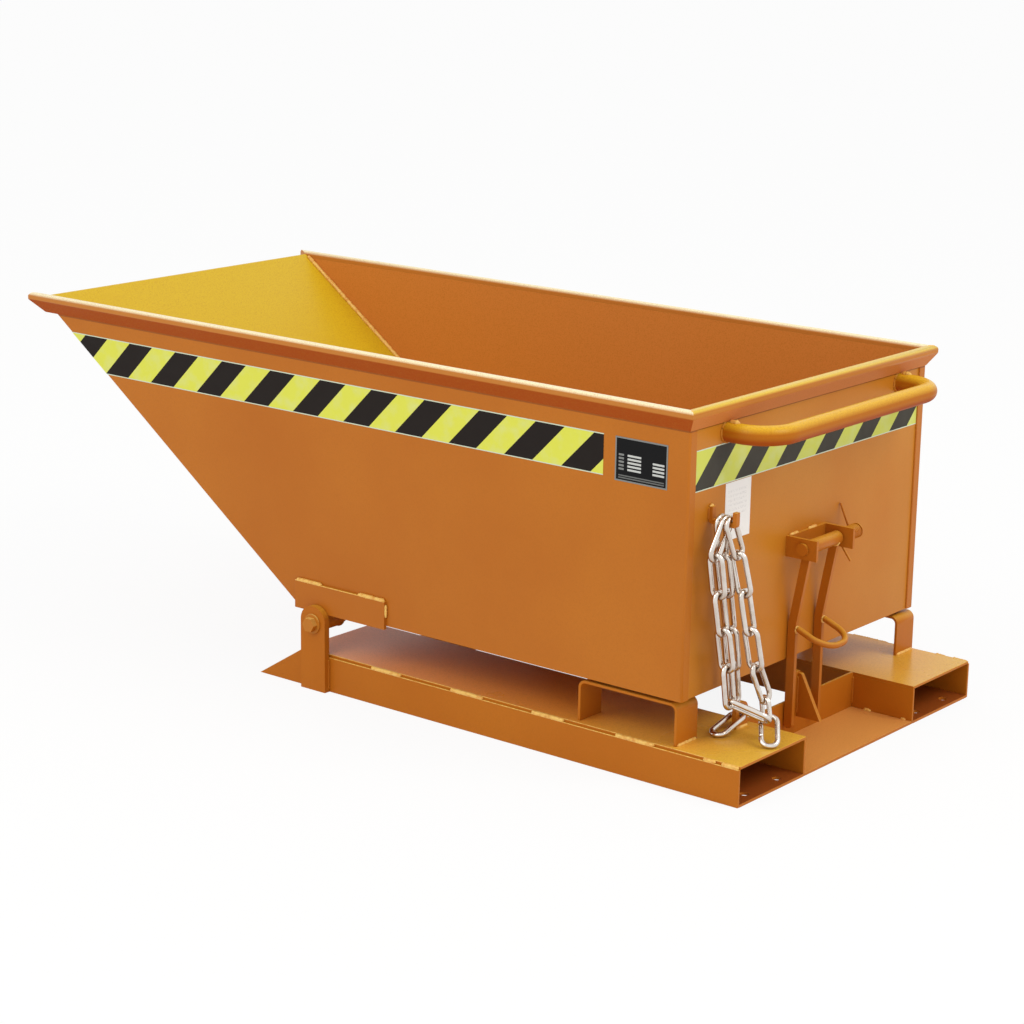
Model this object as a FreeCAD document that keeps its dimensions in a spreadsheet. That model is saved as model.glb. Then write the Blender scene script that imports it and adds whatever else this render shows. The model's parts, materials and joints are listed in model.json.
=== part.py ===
import FreeCAD, Part
import math
import os
from types import SimpleNamespace

import Sketcher

# Forklift tipping skip: a skip with a sloped chute that tips forward on a base frame with two fork pockets.
# Millimetres. +X is the tipping direction, +Y the left side, +Z up. The origin is on the floor, under the
# middle of the whole part.

SIZES = {
    # Fork pockets
    "base_width": 750,
    "pocket_width": 200,
    "pocket_height": 70,
    "pocket_plate": 5,
    "pocket_ahead": 42,
    "nose_length": 103,
    "lid_inset": 4,
    "fork_hole_diameter": 16,
    "fork_hole_setback": 22,
    "fork_hole_spacing": 96,
    # Cross plates between the pockets
    "cross_plate": 5,
    "rear_cross_length": 130,
    "front_cross_length": 110,
    "rear_upstand_height": 70,
    "front_upstand_height": 65,
    # Pivot on each side
    "pivot_inset": 56,
    "upright_width": 59,
    "upright_plate": 12,
    "upright_crown": 32.5,
    "upright_flat": 3,
    "bolt_diameter": 16,
    "bolt_head_flats": 24,
    "bolt_head_height": 10,
    "bolt_tail": 6,
    "nut_height": 13,
    "washer_diameter": 37,
    "washer_plate": 3,
    "bush_diameter": 34,
    "bush_length": 50,
    "bush_gap": 7,
    "saddle_width": 30,
    "running_clearance": 0.05,
    "end_play": 0.5,
    "side_play": 1,
    # Rest straps under the rear of the skip
    "strap_inside": 12,
    "strap_length": 204,
    "strap_width": 60,
    "strap_inset": 13,
    "right_strap_back": 16,
    "right_strap_out": 8,
    "strap_plate": 5,
    "strap_bend": 14,
    "rest_pad_length": 150,
    "rest_pad_width": 40,
    "rest_pad_height": 6.7,
    "seat_gap": 0.3,
    # Latch catch and chain lug on the base
    "latch_offset": 8,
    "catch_play": 3,
    "catch_width": 27,
    "catch_bar": 8,
    "catch_rise": 35,
    "catch_height": 122,
    "gusset_plate": 8,
    "gusset_foot": 48,
    "gusset_top": 7,
    "gusset_drop": 3,
    "gusset_round": 5,
    "lug_plate": 8,
    "lug_behind": 13,
    "lug_shift": 93,
    "lug_width": 36,
    "lug_height": 45,
    "lug_flat": 4,
    "lug_hole_diameter": 18,
    "lug_hole_height": 27,
    # Skip
    "skip_setback": 122,
    "skip_bottom": 150,
    "skip_sheet": 3,
    "skip_length": 1530,
    "floor_length": 859,
    "wall_height": 478,
    "lip_rise": 6,
    "flange_width": 20,
    "flange_round": 4,
    "rail_out": 15,
    "rail_drop": 24,
    "rail_face": 13,
    "rail_rise": 12,
    "rail_skin": 3,
    "rail_round": 7,
    "rail_overhang": 24,
    "rail_nose": 5,
    "handle_diameter": 33.7,
    "handle_wall": 3.2,
    "handle_gap": 1.15,
    "handle_inset": 78,
    "handle_reach": 101,
    "handle_bend": 60,
    "handle_offset": 10,
    "pivot_bar_plate": 6,
    "pivot_bar_height": 52,
    "pivot_bar_drop": 6,
    "pivot_bar_back": 161,
    "pivot_bar_length": 217,
    # Chain hook on the rear wall
    "hook_inset": 48,
    "hook_side_play": 3,
    "hook_bar": 8,
    "hook_rise": 371,
    "hook_reach": 55,
    "hook_back_height": 29,
    "hook_tip_height": 26,
    "hook_bend": 6,
    # Latch bracket, pin and spring
    "bracket_plate": 6,
    "bracket_play": 8,
    "bracket_reach": 62,
    "bracket_height": 36,
    "latch_pin_height": 355,
    "latch_pin_reach": 35,
    "latch_pin_diameter": 14,
    "latch_pin_head_diameter": 22,
    "latch_pin_head": 5,
    "latch_pin_tail": 3,
    "retainer_diameter": 26,
    "retainer_plate": 3,
    "spring_wire": 4,
    "spring_play": 2,
    "spring_gap": 0.8,
    "spring_tail_length": 45,
    # Latch lever
    "sleeve_diameter": 24,
    "sleeve_play": 1,
    "arm_width": 16,
    "arm_plate": 8,
    "arm_spread": 84,
    "arm_wall_gap": 2,
    "arm_knee_height": 214,
    "arm_bottom": 26,
    "arm_end_flat": 1,
    "pedal_rod": 11,
    "pedal_drop": 7,
    "pedal_reach": 64,
    "pedal_flat": 12,
    # Chain and snap hook
    "link_wire": 9,
    "link_length": 84,
    "link_width": 34,
    "link_slack": 0.6,
    "hung_slack": 0.3,
    "strand_gap": 1,
    "eye_length": 50,
    "eye_width": 32,
    "eye_wire": 8,
    "snap_length": 70,
    "snap_width": 36,
    "snap_gate_rod": 8,
    "snap_gate_length": 26,
    # Plates and tapes on the walls
    "trim_thickness": 0.5,
    "side_tape_drop": 29,
    "side_tape_height": 70,
    "side_tape_gap": 24,
    "rear_tape_drop": 36,
    "rear_tape_height": 69,
    "rear_tape_margin": 1,
    "type_plate_length": 105,
    "type_plate_height": 74,
    "type_plate_inset": 42,
    "label_width": 74,
    "label_height": 98,
    "label_inset": 127,
    "label_gap": 1,
    # Past every face that a cut goes through
    "cut_overrun": 5,
}
SPRING_TURNS = 9
SPRING_START_ANGLE = 25
SPRING_END_ANGLE = 38
PEDAL_TILT = 22

# How each hanging link leans: degrees towards +Y, then degrees rearward, from the hook downwards.
STRAND_LEANS = [
    [(-24, 2), (-7, 10), (-6, 8), (-12, 4), (-24, 6)],
    [(34, 0), (-8, 3), (-10, 3), (-10, 3), (-8, 2), (-48, 70)],
    [(-8, 0), (-10, 3), (-10, 2), (-9, 1), (-9, 0)],
]
EYE_LEAN = (4, 12)

# Way that the snap hook's lower end points on the lid: degrees from straight rearward towards +Y.
SNAP_HEADING = 54
SNAP_PASSES = 20

SIDES = (("left", 1), ("right", -1))
PLANE_ROLES = {"XY": "XY_Plane", "XZ": "XZ_Plane", "YZ": "YZ_Plane"}
HEXAGON_CORNER_SHARE = 1 / math.sqrt(3)
MATCH = 1e-5
LEAST_SPRING_GAP_SHARE = 0.1

doc = FreeCAD.newDocument("tipping_skip")
sheet = doc.addObject("Spreadsheet::Sheet", "Sizes")
for row, (cell_name, cell_value) in enumerate(SIZES.items(), 1):
    sheet.set(f"A{row}", str(cell_value))
    sheet.setAlias(f"A{row}", cell_name)
doc.recompute()


class Size:
    """A length with its value now and the formula of sheet cells that gives it."""

    def __init__(self, value, text):
        self.value = value
        self.text = text

    def __add__(self, other):
        other = as_size(other)
        return Size(self.value + other.value, f"({self.text} + {other.text})")

    def __sub__(self, other):
        other = as_size(other)
        return Size(self.value - other.value, f"({self.text} - {other.text})")

    def __mul__(self, other):
        other = as_size(other)
        return Size(self.value * other.value, f"({self.text} * {other.text})")

    def __truediv__(self, other):
        other = as_size(other)
        return Size(self.value / other.value, f"({self.text} / {other.text})")

    def __neg__(self):
        return Size(-self.value, f"(0 - {self.text})")


def as_size(number):
    """Lets plain ratios and zero stand in sums of sizes."""
    if isinstance(number, Size):
        return number
    return Size(float(number), f"({number})")


def diagonal(first, second):
    """Length of the diagonal over two lengths at right angles."""
    return Size(math.hypot(first.value, second.value), f"sqrt(({first.text})^2 + ({second.text})^2)")


def leg_under(long_side, short_side):
    """The other short side of a right-angled triangle."""
    text = f"sqrt(({long_side.text})^2 - ({short_side.text})^2)"
    return Size(math.sqrt(long_side.value ** 2 - short_side.value ** 2), text)


def bind(thing, name, length):
    thing.setExpression(name, length.text)


size = SimpleNamespace()
for cell_name in SIZES:
    setattr(size, cell_name, Size(float(getattr(sheet, cell_name)), f"Sizes.{cell_name}"))
ZERO = as_size(0)


# Drawing helpers

def origin_plane(body, plane):
    for feature in body.Origin.OriginFeatures:
        if feature.Role == PLANE_ROLES[plane]:
            return feature
    raise ValueError(f"no plane {plane}")


def new_body(label):
    body = doc.addObject("PartDesign::Body", label)
    body.Label = label
    return body


def new_sketch(body, plane, level):
    """Sketch parallel to an origin plane, moved along that plane's normal."""
    sketch = body.newObject("Sketcher::SketchObject", "Outline")
    sketch.AttachmentSupport = [(origin_plane(body, plane), "")]
    sketch.MapMode = "FlatFace"
    bind(sketch, "AttachmentOffset.Base.z", level)
    return sketch


def pin(sketch, geometry, point, across, up):
    """Ties a sketch point to its two sizes."""
    for kind, length in (("DistanceX", across), ("DistanceY", up)):
        rule = Sketcher.Constraint(kind, -1, 1, geometry, point, length.value)
        number = sketch.addConstraint(rule)
        bind(sketch, f"Constraints[{number}]", length)


def flat_point(across, up):
    return FreeCAD.Vector(across.value, up.value, 0)


def draw_loop(sketch, corners):
    """Closed loop of straight lines, every corner tied to its sizes."""
    first = sketch.GeometryCount
    ends = [flat_point(across, up) for across, up in corners]
    for start, end in zip(ends, ends[1:] + ends[:1]):
        sketch.addGeometry(Part.LineSegment(start, end), False)
    for index, (across, up) in enumerate(corners):
        following = first + (index + 1) % len(corners)
        sketch.addConstraint(Sketcher.Constraint("Coincident", first + index, 2, following, 1))
        pin(sketch, first + index, 1, across, up)


def draw_circle(sketch, across, up, radius):
    circle = Part.Circle(flat_point(across, up), FreeCAD.Vector(0, 0, 1), radius.value)
    geometry = sketch.addGeometry(circle, False)
    pin(sketch, geometry, 3, across, up)
    number = sketch.addConstraint(Sketcher.Constraint("Radius", geometry, radius.value))
    bind(sketch, f"Constraints[{number}]", radius)


def extrude(body, kind, plane, span, loops=(), circles=()):
    """Pads or pockets an outline over a span: its low end and its depth along the plane's normal."""
    low, depth = span
    level = -(low + depth) if plane == "XZ" else low
    sketch = new_sketch(body, plane, level)
    for corners in loops:
        draw_loop(sketch, corners)
    for across, up, radius in circles:
        draw_circle(sketch, across, up, radius)
    feature = body.newObject(kind, "Depth")
    feature.Profile = sketch
    bind(feature, "Length", depth)
    return feature


def plate(label, plane, span, loops=(), circles=()):
    body = new_body(label)
    extrude(body, "PartDesign::Pad", plane, span, loops, circles)
    return body


def add(body, plane, span, loops=(), circles=()):
    extrude(body, "PartDesign::Pad", plane, span, loops, circles)


def carve(body, plane, span, loops=(), circles=()):
    """Cuts an outline out of the body and makes sure that the cut met it."""
    doc.recompute()
    before = body.Shape.Volume
    pocket = extrude(body, "PartDesign::Pocket", plane, span, loops, circles)
    pocket.Reversed = True
    doc.recompute()
    if body.Shape.Volume >= before - MATCH:
        raise ValueError(f"{body.Label}: the cut met nothing")


def on_plane(plane, point):
    return {"XY": (point.x, point.y), "XZ": (point.x, point.z), "YZ": (point.y, point.z)}[plane]


def round_edges(body, plane, corners, radius):
    """Rounds the edges that stand square on the plane's given corners."""
    doc.recompute()
    tip = body.Tip
    names = []
    for number, edge in enumerate(tip.Shape.Edges, 1):
        ends = [on_plane(plane, vertex.Point) for vertex in edge.Vertexes]
        for across, up in corners:
            if all(math.dist(end, (across.value, up.value)) < MATCH for end in ends):
                names.append(f"Edge{number}")
    fillet = body.newObject("PartDesign::Fillet", "Rounding")
    fillet.Base = (tip, names)
    bind(fillet, "Radius", radius)


def block(label, x_span, y_span, z_span):
    """Square-edged plate, each span a low end and a length."""
    box = doc.addObject("Part::Box", label)
    box.Label = label
    spans = (("x", "Length", x_span), ("y", "Width", y_span), ("z", "Height", z_span))
    for axis, edge, (low, length) in spans:
        bind(box, f"Placement.Base.{axis}", low)
        bind(box, edge, length)
    return box


def group(label, pieces):
    compound = doc.addObject("Part::Compound", label)
    compound.Label = label
    compound.Links = pieces
    return compound


def bent_rod(label, half_span, reach, bend, radius, bore=None):
    """U of round bar or tube on its own level plane: two legs run back from x = 0 to a cross run."""
    body = new_body(label)
    straight = reach - bend
    middle = half_span - bend
    runs = [
        ((ZERO, half_span), (-straight, half_span)),
        ((-reach, middle), (-reach, -middle)),
        ((-straight, -half_span), (ZERO, -half_span)),
    ]
    path = new_sketch(body, "XY", ZERO)
    for number, (start, end) in enumerate(runs):
        path.addGeometry(Part.LineSegment(flat_point(*start), flat_point(*end)), False)
        pin(path, number, 1, *start)
        pin(path, number, 2, *end)
    centres = [flat_point(-straight, middle), flat_point(-straight, -middle)]
    for number, centre in enumerate(centres):
        circle = Part.Circle(centre, FreeCAD.Vector(0, 0, 1), bend.value)
        quarter = math.pi / 2
        arc = path.addGeometry(Part.ArcOfCircle(circle, quarter * (number + 1), quarter * (number + 2)), False)
        path.addConstraint(Sketcher.Constraint("Coincident", number, 2, arc, 1))
        path.addConstraint(Sketcher.Constraint("Coincident", arc, 2, number + 1, 1))
        rule = path.addConstraint(Sketcher.Constraint("Radius", arc, bend.value))
        bind(path, f"Constraints[{rule}]", bend)
    profile = new_sketch(body, "YZ", ZERO)
    draw_circle(profile, half_span, ZERO, radius)
    if bore:
        draw_circle(profile, half_span, ZERO, bore)
    pipe = body.newObject("PartDesign::AdditivePipe", "Bent")
    pipe.Profile = profile
    pipe.Spine = path
    return body


def place(thing, x_place, y_place, z_place):
    for axis, length in (("x", x_place), ("y", y_place), ("z", z_place)):
        bind(thing, f"Placement.Base.{axis}", length)


def either_side(sign, inner, outer):
    """Span along Y between two distances from the middle, on the left or the right."""
    low = inner if sign > 0 else -outer
    return low, outer - inner


def centred(middle, length):
    return middle - length / 2, length


def hexagon(x_place, z_place, flats):
    """Corners of a hexagon with flats above and below."""
    half = flats / 2
    point = flats * HEXAGON_CORNER_SHARE
    shoulder = point / 2
    return [
        (x_place + point, z_place), (x_place + shoulder, z_place + half),
        (x_place - shoulder, z_place + half), (x_place - point, z_place),
        (x_place - shoulder, z_place - half), (x_place + shoulder, z_place - half),
    ]


def rectangle(low_across, low_up, high_across, high_up):
    return [(low_across, low_up), (high_across, low_up), (high_across, high_up), (low_across, high_up)]


# Places that several pieces share

half_base = size.base_width / 2
half_skip = half_base - size.side_play - size.pivot_bar_plate
wall_inside = half_skip - size.skip_sheet
wall_top = size.skip_bottom + size.wall_height
lip_height = wall_top + size.lip_rise
chute_rise = lip_height - size.skip_bottom
chute_run = size.skip_length - size.floor_length
chute_length = diagonal(chute_run, chute_rise)
chute_slope = chute_run / chute_rise
rail_top = wall_top + size.rail_rise
rail_low = wall_top - size.rail_drop

total_length = size.skip_setback + size.skip_length + size.rail_overhang
rear = -(total_length / 2)
skip_rear = rear + size.skip_setback
wall_face = skip_rear + size.skip_sheet
floor_rear = wall_face + size.skip_sheet
chute_foot = skip_rear + size.floor_length
lip = skip_rear + size.skip_length
pivot_x = chute_foot - size.pivot_inset
pivot_height = size.skip_bottom - size.bush_diameter / 2 - size.bush_gap
pocket_front = pivot_x + size.pocket_ahead
upstand_rear = rear + size.rear_cross_length - size.cross_plate
inner_pocket = half_base - size.pocket_width
lid_bottom = size.pocket_height - size.pocket_plate
flange_inside = half_skip - size.flange_width
hook_y = flange_inside - size.hook_inset
rear_tape_bottom = rail_low - size.rear_tape_drop - size.rear_tape_height


# Fork pockets

def fork_pocket(name, sign):
    """Two long walls, a lid, a floor with two holes and a sloped nose plate between the walls."""
    tip = pocket_front + size.nose_length
    side_outline = [(rear, ZERO), (tip, ZERO), (pocket_front, lid_bottom), (rear, lid_bottom)]
    walls = (("outer", half_base - size.pocket_plate), ("inner", inner_pocket))
    for place_name, inside in walls:
        span = either_side(sign, inside, inside + size.pocket_plate)
        plate(f"{name}_pocket_{place_name}_wall", "XZ", span, [side_outline])
    lid_span = either_side(sign, inner_pocket, half_base - size.lid_inset)
    block(f"{name}_pocket_lid", (rear, pocket_front - rear), lid_span, (lid_bottom, size.pocket_plate))

    between = either_side(sign, inner_pocket + size.pocket_plate, half_base - size.pocket_plate)
    nose_cut = size.pocket_plate * diagonal(size.nose_length, lid_bottom) / size.nose_length
    nose_slope = size.nose_length / lid_bottom
    nose_back = tip - nose_slope * nose_cut
    nose = [(pocket_front, lid_bottom), (tip, ZERO), (nose_back, ZERO), (pocket_front, lid_bottom - nose_cut)]
    plate(f"{name}_pocket_nose", "XZ", between, [nose])

    floor_front = nose_back - nose_slope * size.pocket_plate
    outline = [(rear, ZERO), (nose_back, ZERO), (floor_front, size.pocket_plate), (rear, size.pocket_plate)]
    floor = plate(f"{name}_pocket_floor", "XZ", between, [outline])
    middle = (inner_pocket + size.pocket_width / 2) * sign
    hole_x = rear + size.fork_hole_setback
    half_spacing = size.fork_hole_spacing / 2
    holes = []
    for hole_y in (middle - half_spacing, middle + half_spacing):
        holes.append((hole_x, hole_y, size.fork_hole_diameter / 2))
    carve(floor, "XY", (ZERO, size.pocket_plate), circles=holes)


# Cross plates

def cross_plates():
    across = (-inner_pocket, inner_pocket * 2)
    block("rear_cross_plate", (rear, size.rear_cross_length), across, (ZERO, size.cross_plate))
    upright = (size.cross_plate, size.rear_upstand_height - size.cross_plate)
    block("rear_upstand", (upstand_rear, size.cross_plate), across, upright)
    front_low = pocket_front - size.front_cross_length
    block("front_cross_plate", (front_low, size.front_cross_length), across, (ZERO, size.cross_plate))
    upright = (size.cross_plate, size.front_upstand_height - size.cross_plate)
    block("front_upstand", (front_low, size.cross_plate), across, upright)


# Pivots

bolt_radius = size.bolt_diameter / 2
bolt_bore = bolt_radius + size.running_clearance
upright_outside = half_base + size.upright_plate
head_seat = upright_outside + size.washer_plate
bush_outside = half_base - size.side_play
bush_inside = bush_outside - size.bush_length
inner_washer = bush_inside - size.end_play
nut_outside = inner_washer - size.washer_plate
nut_inside = nut_outside - size.nut_height


def pivot_upright(name, sign):
    half = size.upright_width / 2
    corners = rectangle(pivot_x - half, ZERO, pivot_x + half, pivot_height + size.upright_crown)
    hole = (pivot_x, pivot_height, bolt_bore)
    span = either_side(sign, half_base, upright_outside)
    upright = plate(f"{name}_pivot_upright", "XZ", span, [corners], [hole])
    round_edges(upright, "XZ", corners[2:], half - size.upright_flat / 2)


def pivot_bolt(name, sign):
    shank = (pivot_x, pivot_height, bolt_radius)
    bolt_end = nut_inside - size.bolt_tail
    bolt = plate(f"{name}_pivot_bolt", "XZ", either_side(sign, bolt_end, head_seat), circles=[shank])
    head = hexagon(pivot_x, pivot_height, size.bolt_head_flats)
    add(bolt, "XZ", either_side(sign, head_seat, head_seat + size.bolt_head_height), [head])


def pivot_washers():
    rings = [
        (pivot_x, pivot_height, size.washer_diameter / 2),
        (pivot_x, pivot_height, bolt_bore),
    ]
    washers = []
    for name, sign in SIDES:
        for place_name, inside in (("outer", upright_outside), ("inner", nut_outside)):
            span = either_side(sign, inside, inside + size.washer_plate)
            washers.append(plate(f"{name}_{place_name}_washer", "XZ", span, circles=rings))
    group("pivot_washers", washers)


def pivot_nuts():
    nuts = []
    for name, sign in SIDES:
        outline = hexagon(pivot_x, pivot_height, size.bolt_head_flats)
        bore = (pivot_x, pivot_height, bolt_bore)
        nuts.append(plate(f"{name}_nut", "XZ", either_side(sign, nut_inside, nut_outside), [outline], [bore]))
    group("pivot_nuts", nuts)


def pivot_bush(name, sign):
    """Bush that turns on the bolt, with a saddle that reaches up to the underside of the skip."""
    span = either_side(sign, bush_inside, bush_outside)
    half = size.saddle_width / 2
    bush = plate(f"{name}_pivot_bush", "XZ", span, circles=[(pivot_x, pivot_height, size.bush_diameter / 2)])
    saddle = rectangle(pivot_x - half, pivot_height, pivot_x + half, size.skip_bottom)
    add(bush, "XZ", either_side(sign, bush_inside, half_skip), [saddle])
    carve(bush, "XZ", span, circles=[(pivot_x, pivot_height, bolt_bore)])


# Rest straps and pads

strap_outside = half_base - size.strap_inset
strap_rear = skip_rear + size.strap_inside
strap_top = size.skip_bottom - size.seat_gap - size.rest_pad_height


def strap_place(sign):
    """Rear end and outer edge of a strap; the right one stands further back and further out."""
    if sign > 0:
        return strap_rear, strap_outside
    return strap_rear - size.right_strap_back, strap_outside + size.right_strap_out


def rest_strap(name, sign):
    """Flat bar bent down at both ends, standing on the pocket lid."""
    back, outside = strap_place(sign)
    front = back + size.strap_length
    under = strap_top - size.strap_plate
    foot = size.pocket_height
    outer = [(back, strap_top), (front, strap_top)]
    inner = [(front - size.strap_plate, under), (back + size.strap_plate, under)]
    outline = [(back, foot), *outer, (front, foot)]
    outline += [(front - size.strap_plate, foot), *inner, (back + size.strap_plate, foot)]
    span = either_side(sign, outside - size.strap_width, outside)
    strap = plate(f"{name}_rest_strap", "XZ", span, [outline])
    round_edges(strap, "XZ", outer, size.strap_bend)
    round_edges(strap, "XZ", inner, size.strap_bend - size.strap_plate)


def rest_pads():
    pads = []
    for name, sign in SIDES:
        back, outside = strap_place(sign)
        middle = back + size.strap_length / 2
        strap_middle = (outside - size.strap_width / 2) * sign
        spans = (centred(middle, size.rest_pad_length), centred(strap_middle, size.rest_pad_width))
        pads.append(block(f"{name}_rest_pad", *spans, (strap_top, size.rest_pad_height)))
    group("rest_pads", pads)


# Latch catch and chain lug

lever_low = size.latch_offset - size.arm_spread / 2
lever_high = size.latch_offset + size.arm_spread / 2


def latch_catch():
    """Flat bar up the rear face of the rear upstand, beside the left lever arm, with a gusset behind it."""
    face = upstand_rear - size.catch_bar
    low = size.cross_plate + size.catch_rise
    right_side = lever_high - size.arm_plate / 2 - size.catch_play - size.catch_width
    bar_height = (low, size.catch_height - low)
    block("latch_catch", (face, size.catch_bar), (right_side, size.catch_width), bar_height)

    top = size.catch_height - size.gusset_drop
    crown = (face - size.gusset_top, top)
    web = [(face, low), (face, top), crown, (face - size.gusset_foot, low)]
    gusset = plate("catch_gusset", "XZ", (right_side, size.gusset_plate), [web])
    round_edges(gusset, "XZ", [crown], size.gusset_round)


lug_x = skip_rear - size.lug_behind
lug_y = hook_y - size.lug_shift
lug_hole_z = size.pocket_height + size.lug_hole_height


def chain_lug():
    half = size.lug_width / 2
    top = size.pocket_height + size.lug_height
    corners = rectangle(lug_y - half, size.pocket_height, lug_y + half, top)
    hole = (lug_y, lug_hole_z, size.lug_hole_diameter / 2)
    lug = plate("chain_lug", "YZ", (lug_x, size.lug_plate), [corners], [hole])
    round_edges(lug, "YZ", corners[2:], half - size.lug_flat / 2)


# Skip walls

def chute_edge(height):
    """Place along X of the chute's outer face at a height."""
    return chute_foot + (height - size.skip_bottom) * chute_slope


def side_wall(name, sign):
    """Side sheet with its rear edge bent inwards as a flange."""
    outline = [(skip_rear, size.skip_bottom), (chute_foot, size.skip_bottom)]
    outline += [(chute_edge(wall_top), wall_top), (skip_rear, wall_top)]
    wall = plate(f"{name}_side_wall", "XZ", either_side(sign, wall_inside, half_skip), [outline])
    outside = half_skip * sign
    flange = rectangle(flange_inside * sign, size.skip_bottom, outside, wall_top)
    add(wall, "YZ", (skip_rear, size.skip_sheet), [flange])
    round_edges(wall, "XY", [(skip_rear, outside)], size.flange_round)


def inner_sheets():
    """Rear wall, floor and chute between the side walls."""
    across = (-wall_inside, wall_inside * 2)
    block("rear_wall", (wall_face, size.skip_sheet), across, (size.skip_bottom, size.wall_height))
    floor_top = size.skip_bottom + size.skip_sheet
    mitre = chute_foot + size.skip_sheet * (chute_run - chute_length) / chute_rise
    floor = [(floor_rear, size.skip_bottom), (chute_foot, size.skip_bottom)]
    floor += [(mitre, floor_top), (floor_rear, floor_top)]
    plate("floor_plate", "XZ", across, [floor])
    lip_inside = lip - size.skip_sheet * chute_length / chute_rise
    chute = [(chute_foot, size.skip_bottom), (lip, lip_height), (lip_inside, lip_height), (mitre, floor_top)]
    plate("chute_plate", "XZ", across, [chute])


# Rim rails

def rail_profile(cap):
    """Folded section: distance out from the wall face, height; the cap lies on the wall's top edge."""
    shoulder = rail_top - size.rail_face
    return [
        (ZERO, rail_low), (size.rail_out, shoulder), (size.rail_out, rail_top),
        (-cap, rail_top), (-cap, wall_top), (ZERO, wall_top),
    ]


def rail_hollow():
    """Inside of the folded section, one skin in from its faces."""
    slant = rail_top - size.rail_face - rail_low
    cover = size.rail_skin * diagonal(size.rail_out, slant) / size.rail_out
    inner = size.rail_skin
    outer = size.rail_out - size.rail_skin
    ceiling = rail_top - size.rail_skin
    inner_floor = rail_low + slant * inner / size.rail_out + cover
    outer_floor = rail_low + slant * outer / size.rail_out + cover
    return [(inner, inner_floor), (outer, outer_floor), (outer, ceiling), (inner, ceiling)]


rail_rear = skip_rear - size.rail_out
rail_height_span = (rail_low - size.cut_overrun, rail_top - rail_low + size.cut_overrun * 2)


def side_rail(name, sign):
    """Rail along a side wall, mitred at the rear; its nose tapers outwards and is cut back below."""
    over = size.cut_overrun
    tip = rear + total_length
    profile = [((half_skip + out) * sign, height) for out, height in rail_profile(size.skip_sheet)]
    rail = plate(f"{name}_rim_rail", "YZ", (rail_rear, tip + over - rail_rear), [profile])
    rounded = [profile[1], profile[2], profile[3]]
    round_edges(rail, "YZ", rounded, size.rail_round)
    hollow = [((half_skip + out) * sign, height) for out, height in rail_hollow()]
    carve(rail, "YZ", (rail_rear, lip - rail_rear), [hollow])

    far_side = half_skip + size.rail_out + over
    near_side = wall_inside - over
    back = rail_rear - over
    mitre = [(back, far_side * sign), (wall_face + over, near_side * sign), (back, near_side * sign)]
    carve(rail, "XY", rail_height_span, [mitre])

    low = rail_low - over
    high = rail_top + over
    shoulder = rail_top - size.rail_face
    beyond = tip + over * 2
    nose_cut = [(tip + (low - shoulder) * chute_slope, low), (tip, shoulder), (tip, rail_top - size.rail_nose)]
    nose_cut += [(tip - size.rail_nose, rail_top), (tip - size.rail_nose, high), (beyond, high), (beyond, low)]
    carve(rail, "XZ", either_side(sign, near_side, far_side), [nose_cut])

    blunt_side = half_skip + size.rail_out - size.rail_nose
    taper = (tip - lip) / (blunt_side - wall_inside)
    outer_end = blunt_side + (beyond - tip) / taper
    taper_cut = [(lip - over * taper, near_side * sign), (beyond, near_side * sign), (beyond, outer_end * sign)]
    carve(rail, "XY", rail_height_span, [taper_cut])


def rear_rail():
    """Rail along the rear wall, mitred at both ends."""
    cap = size.skip_sheet * 2
    profile = [(skip_rear - out, height) for out, height in rail_profile(cap)]
    half = half_skip + size.rail_out
    rail = plate("rear_rim_rail", "XZ", (-half, half * 2), [profile])
    round_edges(rail, "XZ", [profile[1], profile[2], profile[3]], size.rail_round)
    hollow = [(skip_rear - out, height) for out, height in rail_hollow()]
    carve(rail, "XZ", (-half, half * 2), [hollow])
    over = size.cut_overrun
    back = rail_rear - over
    front = floor_rear + over
    for _, sign in SIDES:
        outer = (half + over) * sign
        inner = (half_skip - cap - over) * sign
        carve(rail, "XY", rail_height_span, [[(back, outer), (front, inner), (front, outer)]])


# Handle, pivot bars and chain hook

def push_handle():
    radius = size.handle_diameter / 2
    bore = radius - size.handle_wall
    reach = size.handle_reach - radius
    half_span = flange_inside - size.handle_inset
    handle = bent_rod("push_handle", half_span, reach, size.handle_bend, radius, bore)
    place(handle, wall_face, -size.handle_offset, rail_low - size.handle_gap - radius)


def pivot_bar(name, sign):
    x_span = (pivot_x - size.pivot_bar_back, size.pivot_bar_length)
    y_span = either_side(sign, half_skip, half_skip + size.pivot_bar_plate)
    z_span = (size.skip_bottom - size.pivot_bar_drop, size.pivot_bar_height)
    block(f"{name}_pivot_bar", x_span, y_span, z_span)


hook_bottom = size.pocket_height + size.hook_rise
hook_top = hook_bottom + size.hook_bar
hook_width = size.link_width - size.link_wire * 2 - size.hook_side_play * 2
hook_tip_inside = wall_face - size.hook_reach + size.hook_bar


def chain_hook():
    """Flat bar bent to a J on the rear wall."""
    tip = wall_face - size.hook_reach
    back_inside = wall_face - size.hook_bar
    outer = [(tip, hook_bottom), (wall_face, hook_bottom)]
    outline = [*outer, (wall_face, hook_bottom + size.hook_back_height)]
    outline += [(back_inside, hook_bottom + size.hook_back_height), (back_inside, hook_top)]
    outline += [(hook_tip_inside, hook_top), (hook_tip_inside, hook_bottom + size.hook_tip_height)]
    outline += [(tip, hook_bottom + size.hook_tip_height)]
    hook = plate("chain_hook", "XZ", centred(hook_y, hook_width), [outline])
    round_edges(hook, "XZ", outer, size.hook_bend)


# Latch bracket, pin and retainer

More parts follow.
